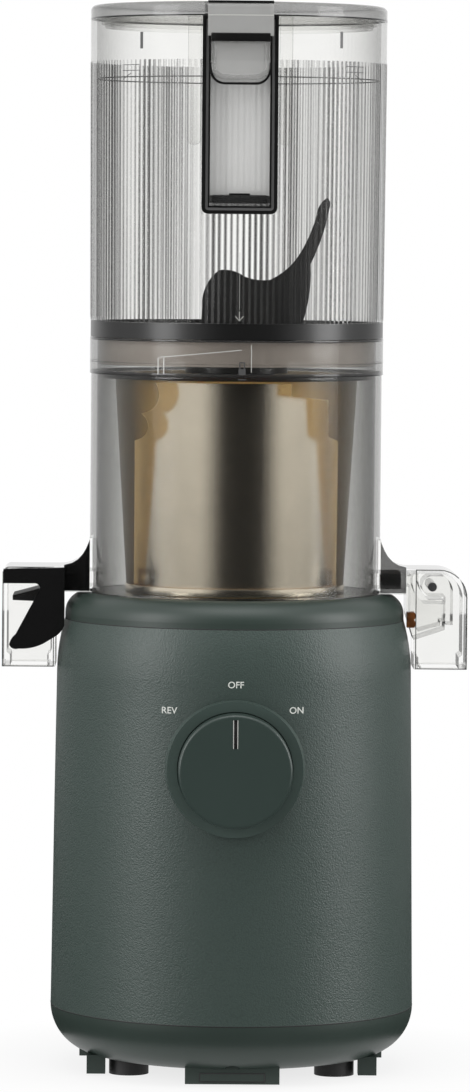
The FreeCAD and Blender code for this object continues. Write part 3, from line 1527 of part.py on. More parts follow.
def make_button():
    """D-shaped push button in the channel, with the pad in its face."""
    half = size.channel_half - size.channel_rail - size.moving_gap
    rear = size.channel_front + size.button_proud - size.button_thickness
    button = body("lid_button")
    face = outline(button, "button_face", "XZ_Plane", [
        (-half, size.button_bottom + size.button_round),
        (-half + size.button_round, size.button_bottom, size.button_round),
        (half - size.button_round, size.button_bottom),
        (half, size.button_bottom + size.button_round, size.button_round),
        (half, size.button_top),
        (-half, size.button_top),
    ], rear)
    feature(button, "Pad", face, Length=size.button_thickness)
    inset = size.button_inset
    pad = outline(button, "button_pad", "XZ_Plane",
                  rectangle(-half + inset, half - inset, size.button_bottom + inset,
                            size.button_top - inset - 1.0), size.channel_front + size.button_proud)
    feature(button, "Pocket", pad, Length=size.button_pad_depth)
    return node(button)


def make_lid():
    """Lid with a skirt, the front arm over the channel and the rear hinge knuckle, and its seal."""
    lid = body("hopper_lid")
    high_radius = size.hopper_high_radius
    edge = size.lid_edge
    skirt = size.lid_skirt_radius
    turned(lid, "lid_section", [
        (ZERO, lid_bottom),
        (skirt - 2.0, lid_bottom),
        (skirt - 2.0, lid_bottom - size.lid_skirt_depth),
        (skirt, lid_bottom - size.lid_skirt_depth),
        (skirt, lid_bottom),
        (high_radius, lid_bottom),
        (high_radius, lid_top - edge),
        (high_radius - edge, lid_top, edge),
        (ZERO, lid_top),
    ])
    knuckle_half = size.hinge_half - size.hinge_ear - size.moving_gap
    knuckle = outline(lid, "lid_knuckle", "YZ_Plane", [
        (high_radius - 4.0, lid_bottom),
        (high_radius + 0.4, lid_bottom),
        (size.hinge_back, hinge_height - size.hinge_knuckle),
        (size.hinge_back, hinge_height + size.hinge_knuckle, size.hinge_knuckle + 0.001),
        (high_radius - 4.0, hinge_height + size.hinge_knuckle),
    ])
    feature(lid, "Pad", knuckle, Length=knuckle_half * 2, SideType="Symmetric")
    bore = circles(lid, "knuckle_bore", "YZ_Plane",
                   [(size.hinge_back, hinge_height, size.hinge_pin + size.running_gap)])
    feature(lid, "Pocket", bore, Length=size.hinge_half * 4, SideType="Symmetric")
    node(lid)

    arm = body("lid_arm")
    arm_back = size.channel_front + size.moving_gap
    arm_front = arm_back + size.arm_thickness
    side = outline(arm, "arm_side", "YZ_Plane", [
        (-arm_back, size.arm_bottom),
        (-arm_back, lid_bottom),
        (-(high_radius + 0.05), lid_bottom),
        (-(high_radius + 0.05), lid_top),
        (-(arm_front - 3.0), lid_top),
        (-arm_front, lid_top - 3.0, Dim(3)),
        (-arm_front, size.arm_bottom),
    ])
    feature(arm, "Pad", side, Length=size.arm_half * 2, SideType="Symmetric")
    node(arm)
    seal_inner = skirt + 0.1
    seal_top = lid_bottom - size.seat_gap
    return node(ring("lid_seal", seal_inner, seal_inner + 1.4, seal_top - 2.4, seal_top))


def check(pieces):
    """Stops the run where an object failed or a piece has no sound solid."""
    doc.recompute()
    broken = [item.Name for item in doc.Objects if {"Invalid", "Error"} & set(item.State)]
    if broken:
        raise RuntimeError("failed objects: " + ", ".join(broken))
    for piece in pieces:
        shape = piece.Shape
        if shape.isNull() or not shape.isValid() or not shape.Solids:
            raise RuntimeError("unsound piece: " + piece.Label)


def main():
    """Builds every piece, checks it and writes one STEP file for each."""
    make_body_shell()
    envelope = make_envelope()
    make_top_cover()
    make_bottom_cover()
    make_feet()
    make_cover_screws()
    make_bezel(envelope)
    make_knob()
    make_switch()
    make_gland()
    make_motor()
    make_gearbox()
    make_board()
    make_chamber()
    make_outlet_seals()
    make_strainer()
    make_screw()
    make_juice_lever()
    make_pulp_outlet()
    make_hopper()
    make_button()
    make_lid()
    check(NODES)
    os.makedirs("parts", exist_ok=True)
    for piece in NODES:
        piece.Shape.exportStep(f"parts/{piece.Label}.step")
        print(f"{piece.Label}: {len(piece.Shape.Solids)} solids, {piece.Shape.Volume:.0f} mm3")


main()
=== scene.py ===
"""Dresses the cold press juicer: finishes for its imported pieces, modelled detail, studio and camera.

Bench and the assemblies count in millimetres; shaders, lamps and the camera count in metres.
"""

import logging
import math
from collections.abc import Callable, Iterator
from contextlib import contextmanager
from dataclasses import dataclass
from enum import Enum
from typing import ClassVar

import bpy
from mathutils import Matrix, Vector


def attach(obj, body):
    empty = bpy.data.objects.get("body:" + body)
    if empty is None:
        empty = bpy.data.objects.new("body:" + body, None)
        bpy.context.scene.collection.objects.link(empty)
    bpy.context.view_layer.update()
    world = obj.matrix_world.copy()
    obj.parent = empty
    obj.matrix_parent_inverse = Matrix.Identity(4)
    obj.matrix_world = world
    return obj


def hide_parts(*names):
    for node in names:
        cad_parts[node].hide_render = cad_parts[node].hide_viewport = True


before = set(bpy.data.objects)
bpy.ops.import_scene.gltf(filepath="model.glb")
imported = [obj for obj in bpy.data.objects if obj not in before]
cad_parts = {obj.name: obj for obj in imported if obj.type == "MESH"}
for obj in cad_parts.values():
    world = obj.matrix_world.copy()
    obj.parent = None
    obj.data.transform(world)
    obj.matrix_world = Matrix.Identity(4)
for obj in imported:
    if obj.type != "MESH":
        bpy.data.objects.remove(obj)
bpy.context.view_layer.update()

MM = 0.001
FACING = 0.9
NEAR = 0.1
SHARP_EDGE = 35.0
SMOOTH_EDGE = 30.0
RING_SIDES = 160
SIDES = (("left", -1), ("right", 1))
WHITE = (1.0, 1.0, 1.0, 1.0)
LOG = logging.getLogger("juicer")

Colour = tuple[float, float, float, float]
Spot = tuple[float, float, float]
Pair = tuple[float, float | int]
Box = tuple[Spot, Spot]
Row = tuple[float, ...]
Pick = Callable[[Vector, Vector], bool]
Piece = bpy.types.Object


def operator(name: str, swapped: bool = False) -> Callable[["Wire", "Wire | float"], "Wire"]:
    """Makes an operator that adds one Math node, with its inputs swapped if need be."""
    return lambda self, other: self.maths(name, *((other, self) if swapped else (self, other)))


class Wire:
    """A shader socket that can stand in a Python expression."""

    def __init__(self, shader: "Shader", socket: bpy.types.NodeSocket) -> None:
        """Wraps an output socket of a shader's tree."""
        self.shader = shader
        self.socket = socket

    def maths(self, operation: str, *values: "Wire | float") -> "Wire":
        """Adds one Math node."""
        return self.shader.node("Math", {"operation": operation}, dict(enumerate(values)))

    def clamp(self) -> "Wire":
        """Keeps the value between 0 and 1."""
        return self.maths("MINIMUM", self.maths("MAXIMUM", self, 0.0), 1.0)

    __add__ = __radd__ = operator("ADD")
    __sub__ = operator("SUBTRACT")
    __rsub__ = operator("SUBTRACT", swapped=True)
    __mul__ = __rmul__ = operator("MULTIPLY")
    __pow__ = operator("POWER")
    __gt__ = operator("GREATER_THAN")


class Shader:
    """Builds a node tree with one method for every kind of node."""

    def __init__(self, tree: bpy.types.NodeTree) -> None:
        """Empties the node tree of a material or of the world."""
        self.tree = tree
        self.tree.nodes.clear()

    def node(self, kind: str, settings: dict | None = None, inputs: dict | None = None,
             output: int | str = 0) -> Wire:
        """Adds a node.

        Args:
            kind: The node's type, without the ShaderNode that all of them start with.
            settings: Properties set before the sockets.
            inputs: Values or wires for its inputs, by name or number.
            output: The output that is returned.

        Returns:
            The wanted output as a wire.
        """
        made = self.tree.nodes.new("ShaderNode" + kind)
        for key, value in (settings or {}).items():
            setattr(made, key, value)
        for key, value in (inputs or {}).items():
            if isinstance(value, Wire):
                self.tree.links.new(value.socket, made.inputs[key])
            else:
                made.inputs[key].default_value = value
        return Wire(self, made.outputs[output] if made.outputs else None)

    def place(self, scale: Spot = (1, 1, 1)) -> Wire:
        """Object coordinates, stretched by a scale."""
        spot = self.node("TexCoord", output="Object")
        return self.node("Mapping", {}, {"Vector": spot, "Scale": scale})

    def part(self, where: Wire, letter: str) -> Wire:
        """One of the three coordinates of a place."""
        return self.node("SeparateXYZ", {}, {0: where}, output=letter)

    def noise(self, where: Wire, scale: float, detail: float = 3.0) -> Wire:
        """Noise value at a place."""
        return self.node("TexNoise", {}, {"Vector": where, "Scale": scale, "Detail": detail})

    def blend(self, share: Wire | float, low: Colour, high: Colour) -> Wire:
        """Mixes two colours by a share."""
        return self.node("Mix", {"data_type": "RGBA"}, {0: share, 6: low, 7: high}, output=2)

    def bump(self, height: Wire, strength: float, distance: float) -> Wire:
        """Turns a height into a normal."""
        return self.node("Bump", {}, {"Height": height, "Strength": strength, "Distance": distance})

    def layer(self, share: Wire, below: Wire, above: Wire) -> Wire:
        """Mixes two surface shaders."""
        return self.node("MixShader", {}, {0: share, 1: below, 2: above})

    def principled(self, **inputs: object) -> Wire:
        """Surface shader with its sockets named in Python's way."""
        return self.node("BsdfPrincipled", {},
                         {key.replace("_", " "): value for key, value in inputs.items()})

    def clear(self, colour: Colour) -> Wire:
        """See-through shader."""
        return self.node("BsdfTransparent", {}, {"Color": colour})

    def surface(self, shader: Wire) -> None:
        """Ends the tree in a material output."""
        self.node("OutputMaterial", {}, {"Surface": shader})


def new_material(name: str) -> tuple[bpy.types.Material, Shader]:
    """Makes an empty material, and the shader that fills it."""
    material = bpy.data.materials.new(name)
    material.use_nodes = True
    return material, Shader(material.node_tree)


def shade(colour: Colour, by: float) -> Colour:
    """A lighter or darker version of a colour."""
    return (colour[0] * by, colour[1] * by, colour[2] * by, 1.0)


@dataclass(frozen=True)
class Finish:
    """A moulded or machined finish; the kinds below add their own detail."""

    name: str
    colour: Colour
    roughness: float = 0.4
    metallic: float = 0.0
    grain: float = 2200.0
    depth: float = 0.02

    def make(self) -> bpy.types.Material:
        """Makes the material once and finds it afterwards."""
        found = bpy.data.materials.get(self.name)
        if found:
            return found
        material, shader = new_material(self.name)
        shader.surface(self.body(shader))
        return material

    def body(self, shader: Shader) -> Wire:
        """Builds the surface: fine even mould texture with a little unevenness."""
        where = shader.place()
        cloudy = shader.noise(where, 18.0)
        fine = shader.noise(where, self.grain, 2.0)
        return shader.principled(
            Base_Color=shader.blend(cloudy, shade(self.colour, 0.9), shade(self.colour, 1.1)),
            Roughness=cloudy * 0.08 + (self.roughness - 0.04),
            Metallic=self.metallic,
            Normal=shader.bump(fine, self.depth, 0.0004))


@dataclass(frozen=True)
class LeatherGrain(Finish):
    """Pebbled leather-look skin over moulded plastic."""

    pebble: float = 1500.0
    bend: float = 0.0016

    def body(self, shader: Shader) -> Wire:
        """Pebbles from a cell pattern, bent by noise, with fine pores on top and painted shade in the creases
        between them.
        """
        where = shader.place()
        wander = shader.node("TexNoise", {}, {"Vector": where, "Scale": 420.0, "Detail": 2.0}, 1)
        bent = shader.node("VectorMath", {"operation": "MULTIPLY_ADD"},
                           {0: wander, 1: (self.bend, self.bend, self.bend), 2: where})
        cells = shader.node("TexVoronoi", {"feature": "SMOOTH_F1"},
                            {"Vector": bent, "Scale": self.pebble, "Smoothness": 0.6})
        pores = shader.noise(where, 3400.0, 2.0)
        patches = shader.noise(where, 42.0, 4.0)
        height = cells * -0.8 + pores * 0.3 + patches * 0.25
        # The colour is darker in the creases between the pebbles: painted shade.
        crease_shade = (cells * 1.1).clamp()
        return shader.principled(
            Base_Color=shader.blend(crease_shade, shade(self.colour, 1.12), shade(self.colour, 0.82)),
            Roughness=patches * 0.12 + crease_shade * 0.08 + (self.roughness - 0.1),
            Normal=shader.bump(height, self.depth, 0.0005))


@dataclass(frozen=True)
class ClearPlastic(Finish):
    """Clear tinted plastic that darkens where it is seen edge on."""

    veil: float = 0.1
    rim: float = 0.5
    sharp: float = 2.2
    streak: float = 60.0
    see_through: Colour = (0.985, 0.985, 0.98, 1.0)

    def tint(self, shader: Shader) -> Wire:
        """Share of the body colour that covers what lies behind."""
        facing = shader.node("LayerWeight", {}, {"Blend": 0.5}, output="Facing")
        streaks = shader.noise(shader.place(), self.streak, 2.0)
        return (facing ** self.sharp) * self.rim + streaks * 0.03 + (self.veil - 0.015)

    def body(self, shader: Shader) -> Wire:
        """Glossy see-through body whose tint grows towards its edges."""
        streaks = shader.noise(shader.place(), self.streak, 2.0)
        solid = shader.principled(
            Base_Color=shader.blend(streaks, shade(self.colour, 0.94), shade(self.colour, 1.06)),
            Roughness=self.roughness)
        return shader.layer(self.tint(shader).clamp(), shader.clear(self.see_through), solid)


@dataclass(frozen=True)
class SteppedPlastic(ClearPlastic):
    """Clear plastic that is denser above a moulded step."""

    step: float = 0.0
    dense: float = 0.5

    def tint(self, shader: Shader) -> Wire:
        """Adds the denser upper part."""
        above = shader.part(shader.place(), "Z") > self.step
        return super().tint(shader) + above * self.dense


@dataclass(frozen=True)
class FlutedPlastic(ClearPlastic):
    """Clear plastic with fine upright flutes that gather the tint into lines."""

    flutes: int = 150
    flutes_top: float = 0.4328

    def tint(self, shader: Shader) -> Wire:
        """Adds the flutes' dark lines, stronger in some places than in others."""
        where = shader.place()
        around = where.maths("ARCTAN2", shader.part(where, "X"), shader.part(where, "Y"))
        wave = around.maths("SINE", around * float(self.flutes)) * 0.5 + 0.5
        groups = shader.noise(shader.place((70.0, 70.0, 1.2)), 1.0, 3.0)
        below = 1.0 - (shader.part(where, "Z") > self.flutes_top)
        lines = (wave ** 3.0) * ((groups - 0.42).clamp() * 4.5 + 0.12)
        return super().tint(shader) + lines * below


@dataclass(frozen=True)
class PolishedMetal(Finish):
    """Drawn and polished metal with faint lines along its height."""

    lines: Spot = (900.0, 900.0, 6.0)

    def body(self, shader: Shader) -> Wire:
        """Stretched noise for the polishing lines."""
        lines = shader.noise(shader.place(self.lines), 1.0, 2.0)
        return shader.principled(
            Base_Color=shader.blend(lines, shade(self.colour, 0.95), shade(self.colour, 1.04)),
            Metallic=1.0,
            Roughness=lines * 0.06 + (self.roughness - 0.03),
            Normal=shader.bump(lines, self.depth, 0.0002))


@dataclass(frozen=True)
class Resin(Finish):
    """Amber resin that lets some light through, and shows only weakly in mirrors."""

    veil: float = 0.8
    see_through: Colour = (0.97, 0.85, 0.63, 1.0)
    unmirrored: float = 0.8

    def body(self, shader: Shader) -> Wire:
        """Cloudy resin, partly see-through and darker where it is seen edge on."""
        cloudy = shader.noise(shader.place(), 30.0)
        facing = shader.node("LayerWeight", {}, {"Blend": 0.5}, output="Facing")
        solid = shader.principled(
            Base_Color=shader.blend((facing * 1.9 + cloudy * 0.2 - 0.1).clamp(), shade(self.colour, 1.1),
                                    shade(self.colour, 0.13)),
            Roughness=cloudy * 0.1 + self.roughness,
            Subsurface_Weight=0.2,
            Subsurface_Scale=0.01)
        mirrored = shader.node("LightPath", output="Is Glossy Ray")
        share = (cloudy * 0.1 + (self.veil - 0.05)) * (1.0 - mirrored * self.unmirrored)
        return shader.layer(share, shader.clear(self.see_through), solid)


class Look(Enum):
    """The juicer's finishes by use."""

    LEATHER = LeatherGrain("green_leather_skin", (0.043, 0.064, 0.056, 1), 0.4, depth=0.26)
    GREEN = Finish("green_satin_shell", (0.026, 0.041, 0.034, 1), 0.42)
    KNOB = Finish("green_knob", (0.03, 0.047, 0.041, 1), 0.34, grain=3200.0)
    BEZEL = Finish("green_bezel", (0.052, 0.076, 0.067, 1), 0.3, grain=3200.0)
    CLEAR = ClearPlastic("clear_smoke_plastic", (0.1, 0.1, 0.096, 1), 0.06, veil=0.018, rim=0.72, sharp=1.35)
    LID = SteppedPlastic("grey_smoke_lid", (0.22, 0.22, 0.215, 1), 0.12, veil=0.02, rim=0.6, sharp=2.0,
                         step=0.4513, dense=0.4)
    RING = SteppedPlastic("black_ring_plastic", (0.008, 0.008, 0.008, 1), 0.3, veil=0.12, rim=0.5, sharp=1.6,
                          step=0.3151, dense=1.0)
    ARM = ClearPlastic("grey_smoke_arm", (0.5, 0.5, 0.49, 1), 0.1, veil=0.55, rim=0.4, sharp=1.6)
    BUTTON = ClearPlastic("grey_smoke_button", (0.42, 0.42, 0.41, 1), 0.1, veil=0.3, rim=0.5, sharp=1.4)
    FLUTED = FlutedPlastic("clear_smoke_fluted", (0.05, 0.05, 0.049, 1), 0.1, veil=0.012, rim=0.45, sharp=2.4)
    PALE = ClearPlastic("clear_pale_plastic", (0.09, 0.09, 0.085, 1), 0.05, veil=0.03, rim=0.9, sharp=1.9)
    # Seen only edge on: paints dark lines at the chamber wall's edges, as painted shade.
    EDGE = ClearPlastic("painted_wall_edge_shade", (0.02, 0.02, 0.02, 1), 0.05, veil=0.015, rim=1.0, sharp=6.0)
    SEAL = ClearPlastic("clear_silicone", (0.4, 0.4, 0.39, 1), 0.3, veil=0.05, rim=0.3, sharp=1.5)
    WINDOW = ClearPlastic("frosted_window", (0.7, 0.7, 0.69, 1), 0.2, veil=0.68, rim=0.4, sharp=2.0)
    LINER = ClearPlastic("brown_smoke_liner", (0.68, 0.6, 0.54, 1), 0.25, veil=0.66, rim=0.5, sharp=1.5)
    WING = Finish("black_wing_plastic", (0.03, 0.03, 0.03, 1), 0.3, grain=900.0)
    SMOKE = ClearPlastic("dark_smoke_plastic", (0.03, 0.03, 0.03, 1), 0.08, veil=0.6, rim=0.5, sharp=1.2)
    STEEL = PolishedMetal("polished_screen_steel", (0.88, 0.79, 0.65, 1), 0.25, depth=0.012)
    MACHINED = PolishedMetal("machined_steel", (0.55, 0.56, 0.57, 1), 0.32, depth=0.1)
    COPPER = PolishedMetal("enamelled_copper", (0.72, 0.33, 0.14, 1), 0.35, depth=0.4,
                           lines=(60.0, 60.0, 1400.0))
    AMBER = Resin("amber_resin", (0.56, 0.35, 0.11, 1), 0.25, veil=0.9)
    BROWN = Finish("brown_silicone", (0.055, 0.028, 0.018, 1), 0.42)
    ORANGE = Finish("orange_silicone", (0.4, 0.12, 0.015, 1), 0.36)
    BLACK = Finish("black_gloss_plastic", (0.008, 0.008, 0.008, 1), 0.14, grain=900.0)
    # Black rubber on the feet, seals, gate and seam gaskets; on the knob's slot floor and in the cord hook's
    # recess it is painted shade.
    RUBBER = Finish("black_rubber_and_painted_shade", (0.014, 0.014, 0.014, 1), 0.6, grain=1500.0, depth=0.1)
    GREY = Finish("grey_housing_plastic", (0.3, 0.3, 0.3, 1), 0.5)
    RAIL = Finish("grey_rail_plastic", (0.16, 0.16, 0.16, 1), 0.18)
    GEAR = Finish("natural_gear_plastic", (0.62, 0.6, 0.52, 1), 0.45)
    BOARD = Finish("circuit_board", (0.02, 0.13, 0.05, 1), 0.4)
    INK = Finish("white_print", (0.62, 0.64, 0.6, 1), 0.6)
    MARK = Finish("grey_moulded_mark", (0.07, 0.07, 0.07, 1), 0.4)
    # Pale marks on the hopper, collar and arm; on the edges of the knob's pointer slot it is a painted
    # highlight.
    PALE_MARK_AND_HIGHLIGHT = Finish("pale_mark_and_painted_highlight", (0.45, 0.45, 0.43, 1), 0.3)


CAD_LOOKS: dict[Look, str] = {
    Look.LEATHER: "body_shell",
    Look.GREEN: "top_cover bottom_cover",
    Look.KNOB: "power_knob",
    Look.BEZEL: "knob_bezel",
    Look.RUBBER: "rubber_feet shaft_seal juice_gate",
    Look.MACHINED: "cover_screws switch_nut switch_shaft motor_can stator_core motor_rotor "
                       "motor_shaft motor_bearings output_bearing gear_pins drive_shaft gearbox_screws "
                       "pulp_door_pin lid_hinge_pin",
    Look.COPPER: "stator_windings",
    Look.BLACK: "rotary_switch cord_gland gland_nut cooling_fan juicing_screw juice_lever "
                    "hinge_bracket",
    Look.GREY: "gearbox_housing gearbox_lid run_capacitor",
    Look.GEAR: "first_reduction_gear second_reduction_gear output_gear",
    Look.BOARD: "control_board",
    Look.CLEAR: "juice_chamber",
    Look.LID: "hopper_lid",
    Look.BUTTON: "lid_button",
    Look.ARM: "lid_arm",
    Look.FLUTED: "hopper_shell",
    Look.PALE: "pulp_nozzle pulp_door",
    Look.SEAL: "lid_seal",
    Look.WING: "cutting_wing",
    Look.RING: "hopper_ring",
    Look.WINDOW: "channel_window",
    Look.SMOKE: "hopper_channel",
    Look.STEEL: "strainer_screen",
    Look.AMBER: "strainer_frame",
    Look.BROWN: "outlet_seals",
    Look.ORANGE: "pulp_plug",
}


def dress_frame() -> None:
    """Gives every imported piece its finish."""
    for finish, names in CAD_LOOKS.items():
        for name in names.split():
            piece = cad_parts[name]
            piece.data.materials.clear()
            piece.data.materials.append(finish.value.make())


class Bench:
    """Hand modelling: primitives, picked faces and applied modifiers, all in millimetres."""

    @staticmethod
    def only(*pieces: Piece) -> None:
        """Selects some pieces and nothing else; the last one is active."""
        bpy.ops.object.select_all(action="DESELECT")
        for piece in pieces:
            piece.select_set(True)
            bpy.context.view_layer.objects.active = piece

    @staticmethod
    def settle(name: str) -> Piece:
        """Names the new active object and puts its place into its mesh."""
        piece = bpy.context.object
        piece.name = piece.data.name = name
        bpy.ops.object.transform_apply(location=True, rotation=True, scale=True)
        return piece

    @classmethod
    def block(cls, name: str, start: Spot, end: Spot) -> Piece:
        """Adds a block between two opposite corners."""
        Bench.only()
        middle = [(a + b) / 2 * MM for a, b in zip(start, end)]
        bpy.ops.mesh.primitive_cube_add(size=1, location=middle)
        bpy.context.object.scale = [abs(b - a) * MM for a, b in zip(start, end)]
        return cls.settle(name)

    @classmethod
    def tube(cls, name: str, radius: float, low: float, high: float, sides: int) -> Piece:
        """Adds an open round sleeve about the drive axis, between two heights."""
        Bench.only()
        bpy.ops.mesh.primitive_cylinder_add(vertices=sides, radius=radius * MM, depth=(high - low) * MM,
                                            end_fill_type="NOTHING", location=(0, 0, (low + high) / 2 * MM))
        return cls.settle(name)

    @classmethod
    @contextmanager
    def editing(cls, piece: Piece, kind: str = "FACE", pick: Pick | None = None) -> Iterator[None]:
        """Opens edit mode with the picked points, edges or faces selected.

        Args:
            piece: The piece to edit.
            kind: VERT, EDGE or FACE.
            pick: Test on a face's middle and normal, an edge's ends, or a point twice, in millimetres.

        Yields:
            Nothing; edit mode is open meanwhile.
        """
        cls.only(piece)
        mesh = piece.data
        order = ("VERT", "EDGE", "FACE")
        bpy.context.tool_settings.mesh_select_mode = tuple(kind == mode for mode in order)
        for items in (mesh.vertices, mesh.edges, mesh.polygons):
            items.foreach_set("select", [pick is None] * len(items))
        if pick and kind == "FACE":
            for item in mesh.polygons:
                item.select = pick(item.center / MM, item.normal)
        elif pick and kind == "EDGE":
            for item in mesh.edges:
                start, end = (mesh.vertices[number].co / MM for number in item.vertices)
                item.select = pick(start, end)
        elif pick:
            for item in mesh.vertices:
                item.select = pick(item.co / MM, item.co / MM)
        bpy.ops.object.mode_set(mode="EDIT")
        yield
        bpy.ops.object.mode_set(mode="OBJECT")

    @classmethod
    def cut(cls, piece: Piece, place: Spot, normal: Spot, pick: Pick | None = None) -> None:
        """Cuts the picked faces, or all of them, along a plane."""
        with cls.editing(piece, pick=pick):
            bpy.ops.mesh.bisect(plane_co=[number * MM for number in place], plane_no=normal)

    @classmethod
    def sink(cls, piece: Piece, step: Pair, pick: Pick) -> None:
        """Insets the picked faces by a step's first number and moves them back by its second."""
        with cls.editing(piece, pick=pick):
            bpy.ops.mesh.inset(thickness=step[0] * MM)
            bpy.ops.transform.translate(value=(0, step[1] * MM, 0))

    @classmethod
    def remove(cls, piece: Piece, pick: Pick) -> None:
        """Deletes the picked faces."""
        with cls.editing(piece, pick=pick):
            bpy.ops.mesh.delete(type="FACE")

    @classmethod
    def thicken(cls, piece: Piece, back: float) -> None:
        """Extrudes a whole flat piece backwards."""
        with cls.editing(piece):
            bpy.ops.mesh.extrude_region_move(TRANSFORM_OT_translate={"value": (0, back * MM, 0)})

    @classmethod
    def round_corners(cls, piece: Piece, corner: Pair, pick: Pick, kind: str = "EDGE") -> None:
        """Bevels the picked edges or points by a corner's radius and number of segments."""
        with cls.editing(piece, kind, pick):
            bpy.ops.mesh.bevel(offset=corner[0] * MM, segments=corner[1],
                               affect="EDGES" if kind == "EDGE" else "VERTICES")

    @classmethod
    def outwards(cls, piece: Piece) -> None:
        """Turns all of a piece's faces outwards."""
        with cls.editing(piece):
            bpy.ops.mesh.normals_make_consistent(inside=False)

    @classmethod
    def finish(cls, piece: Piece, kind: str, **settings: object) -> Piece:
        """Adds a modifier and applies it."""
        cls.only(piece)
        modifier = piece.modifiers.new(kind.title(), kind)
        for key, value in settings.items():
            setattr(modifier, key, value)
        bpy.ops.object.modifier_apply(modifier=modifier.name)
        return piece

    @classmethod
    def smooth(cls, piece: Piece, degrees: float) -> None:
        """Smooths the shading across edges flatter than an angle."""
        cls.only(piece)
        bpy.ops.object.shade_smooth_by_angle(angle=math.radians(degrees))

    @classmethod
    def round_off(cls, piece: Piece, width: float, segments: int = 2) -> Piece:
        """Bevels a piece's sharp edges and smooths its shading."""
        cls.finish(piece, "BEVEL", width=width * MM, segments=segments, limit_method="ANGLE",
                   angle_limit=math.radians(SHARP_EDGE))
        cls.smooth(piece, SMOOTH_EDGE)
        return piece

    @classmethod
    def ring(cls, name: str, outer: float, thick: float, low: float, high: float,
             edge: float = 0.1) -> Piece:
        """A round band: a sleeve with a wall, its edges rounded."""
        piece = cls.tube(name, outer, low, high, RING_SIDES)
        cls.finish(piece, "SOLIDIFY", thickness=thick * MM, offset=-1, use_even_offset=True)
        return cls.round_off(piece, edge)

    @classmethod
    def joined(cls, name: str, pieces: list[Piece]) -> Piece:
        """Joins pieces into one."""
        cls.only(*pieces)
        bpy.ops.object.join()
        piece = bpy.context.object
        piece.name = piece.data.name = name
        return piece

    @classmethod
    def wrapped(cls, piece: Piece, onto: str, offset: float) -> Piece:
        """Presses a thin front-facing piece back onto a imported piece."""
        return cls.finish(piece, "SHRINKWRAP", target=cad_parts[onto], wrap_method="PROJECT",
                          use_project_y=True, use_negative_direction=True, use_positive_direction=True,
                          offset=offset * MM)

    @classmethod
    def bar(cls, name: str, across: float, up: float, width: float, height: float, tilt: float = 0.0,
            steps: int = 0, front: float = 80.0) -> Piece:
        """Adds a flat upright rectangle that faces the front.

        Args:
            name: The piece's name.
            across: Its middle along X.
            up: Its middle along Z.
            width: Its length across.
            height: Its height.
            tilt: How far it is turned, in degrees.
            steps: How many cuts let it follow a curve.
            front: How far in front it stands.

        Returns:
            The rectangle.
        """
        Bench.only()
        bpy.ops.mesh.primitive_plane_add(size=1, location=(across * MM, -front * MM, up * MM),
                                         rotation=(math.pi / 2, math.radians(tilt), 0))
        bpy.context.object.scale = (width * MM, height * MM, 1)
        piece = cls.settle(name)
        if steps:
            with cls.editing(piece):
                bpy.ops.mesh.subdivide(number_cuts=steps)
        return piece


def faces_front(_: Vector, normal: Vector) -> bool:
    """Picks the faces that look to the front."""
    return normal.y < -FACING


def lower_edges(limit: float) -> Pick:
    """Picks the edges below a height that do not run across."""
    return lambda start, end: max(start.z, end.z) < limit and abs(start.x - end.x) < NEAR


def mirrored(box: Box, sign: int) -> Iterator[Spot]:
    """The two corners of a box, on the side that a sign gives."""
    return ((sign * x, y, z) for x, y, z in box)


def dress(piece: Piece, finish: Look, rides: str, stands_for: str = "") -> None:
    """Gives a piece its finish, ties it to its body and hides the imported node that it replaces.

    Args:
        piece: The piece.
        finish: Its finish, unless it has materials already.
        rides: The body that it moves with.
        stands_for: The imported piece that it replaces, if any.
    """
    if not piece.data.materials:
        piece.data.materials.append(finish.value.make())
    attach(piece, rides)
    if stands_for:
        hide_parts(stands_for)
    LOG.info("%s: %d faces on %s", piece.name, len(piece.data.polygons), rides)


def two_tone(piece: Piece, main: Look, sunk: Look, least: float, most: float) -> None:
    """Gives a piece's front faces between two depths another finish.

    Args:
        piece: The piece.
        main: Finish of the rest.
        sunk: Finish of those faces.
        least: Least Y of their middles.
        most: Greatest Y of their middles.
    """
    for finish in (main, sunk):
        piece.data.materials.append(finish.value.make())
    for face in piece.data.polygons:
        inside = least < face.center.y / MM < most
        face.material_index = int(faces_front(face.center, face.normal) and inside)


@dataclass
class Assembly:
    """Sub-assembly: the body that it rides, and its plain bands, blocks and surface lines.

    A band's sizes are its radius, wall, lower and upper end and edge. A line's row is what Bench.bar takes.
    """

    body: ClassVar[str]
    rings: ClassVar[tuple[tuple[str, Row, Look], ...]] = ()
    slabs: ClassVar[tuple[tuple[str, Box, float, Look], ...]] = ()
    lines: ClassVar[tuple[tuple[str, tuple[Row, ...], Look], ...]] = ()
    lines_on: ClassVar[str] = ""
    lines_lift: ClassVar[float] = 0.0

    def build(self) -> None:
        """Builds and dresses the plain pieces."""
        for name, sizes, finish in self.rings:
            dress(Bench.ring(name, *sizes), finish, self.body)
        for name, box, edge, finish in self.slabs:
            dress(Bench.round_off(Bench.block(name, *box), edge), finish, self.body)
        for name, rows, finish in self.lines:
            piece = Bench.joined(name, [Bench.bar("stroke", *row) for row in rows])
            dress(Bench.wrapped(piece, self.lines_on, self.lines_lift), finish, self.body)


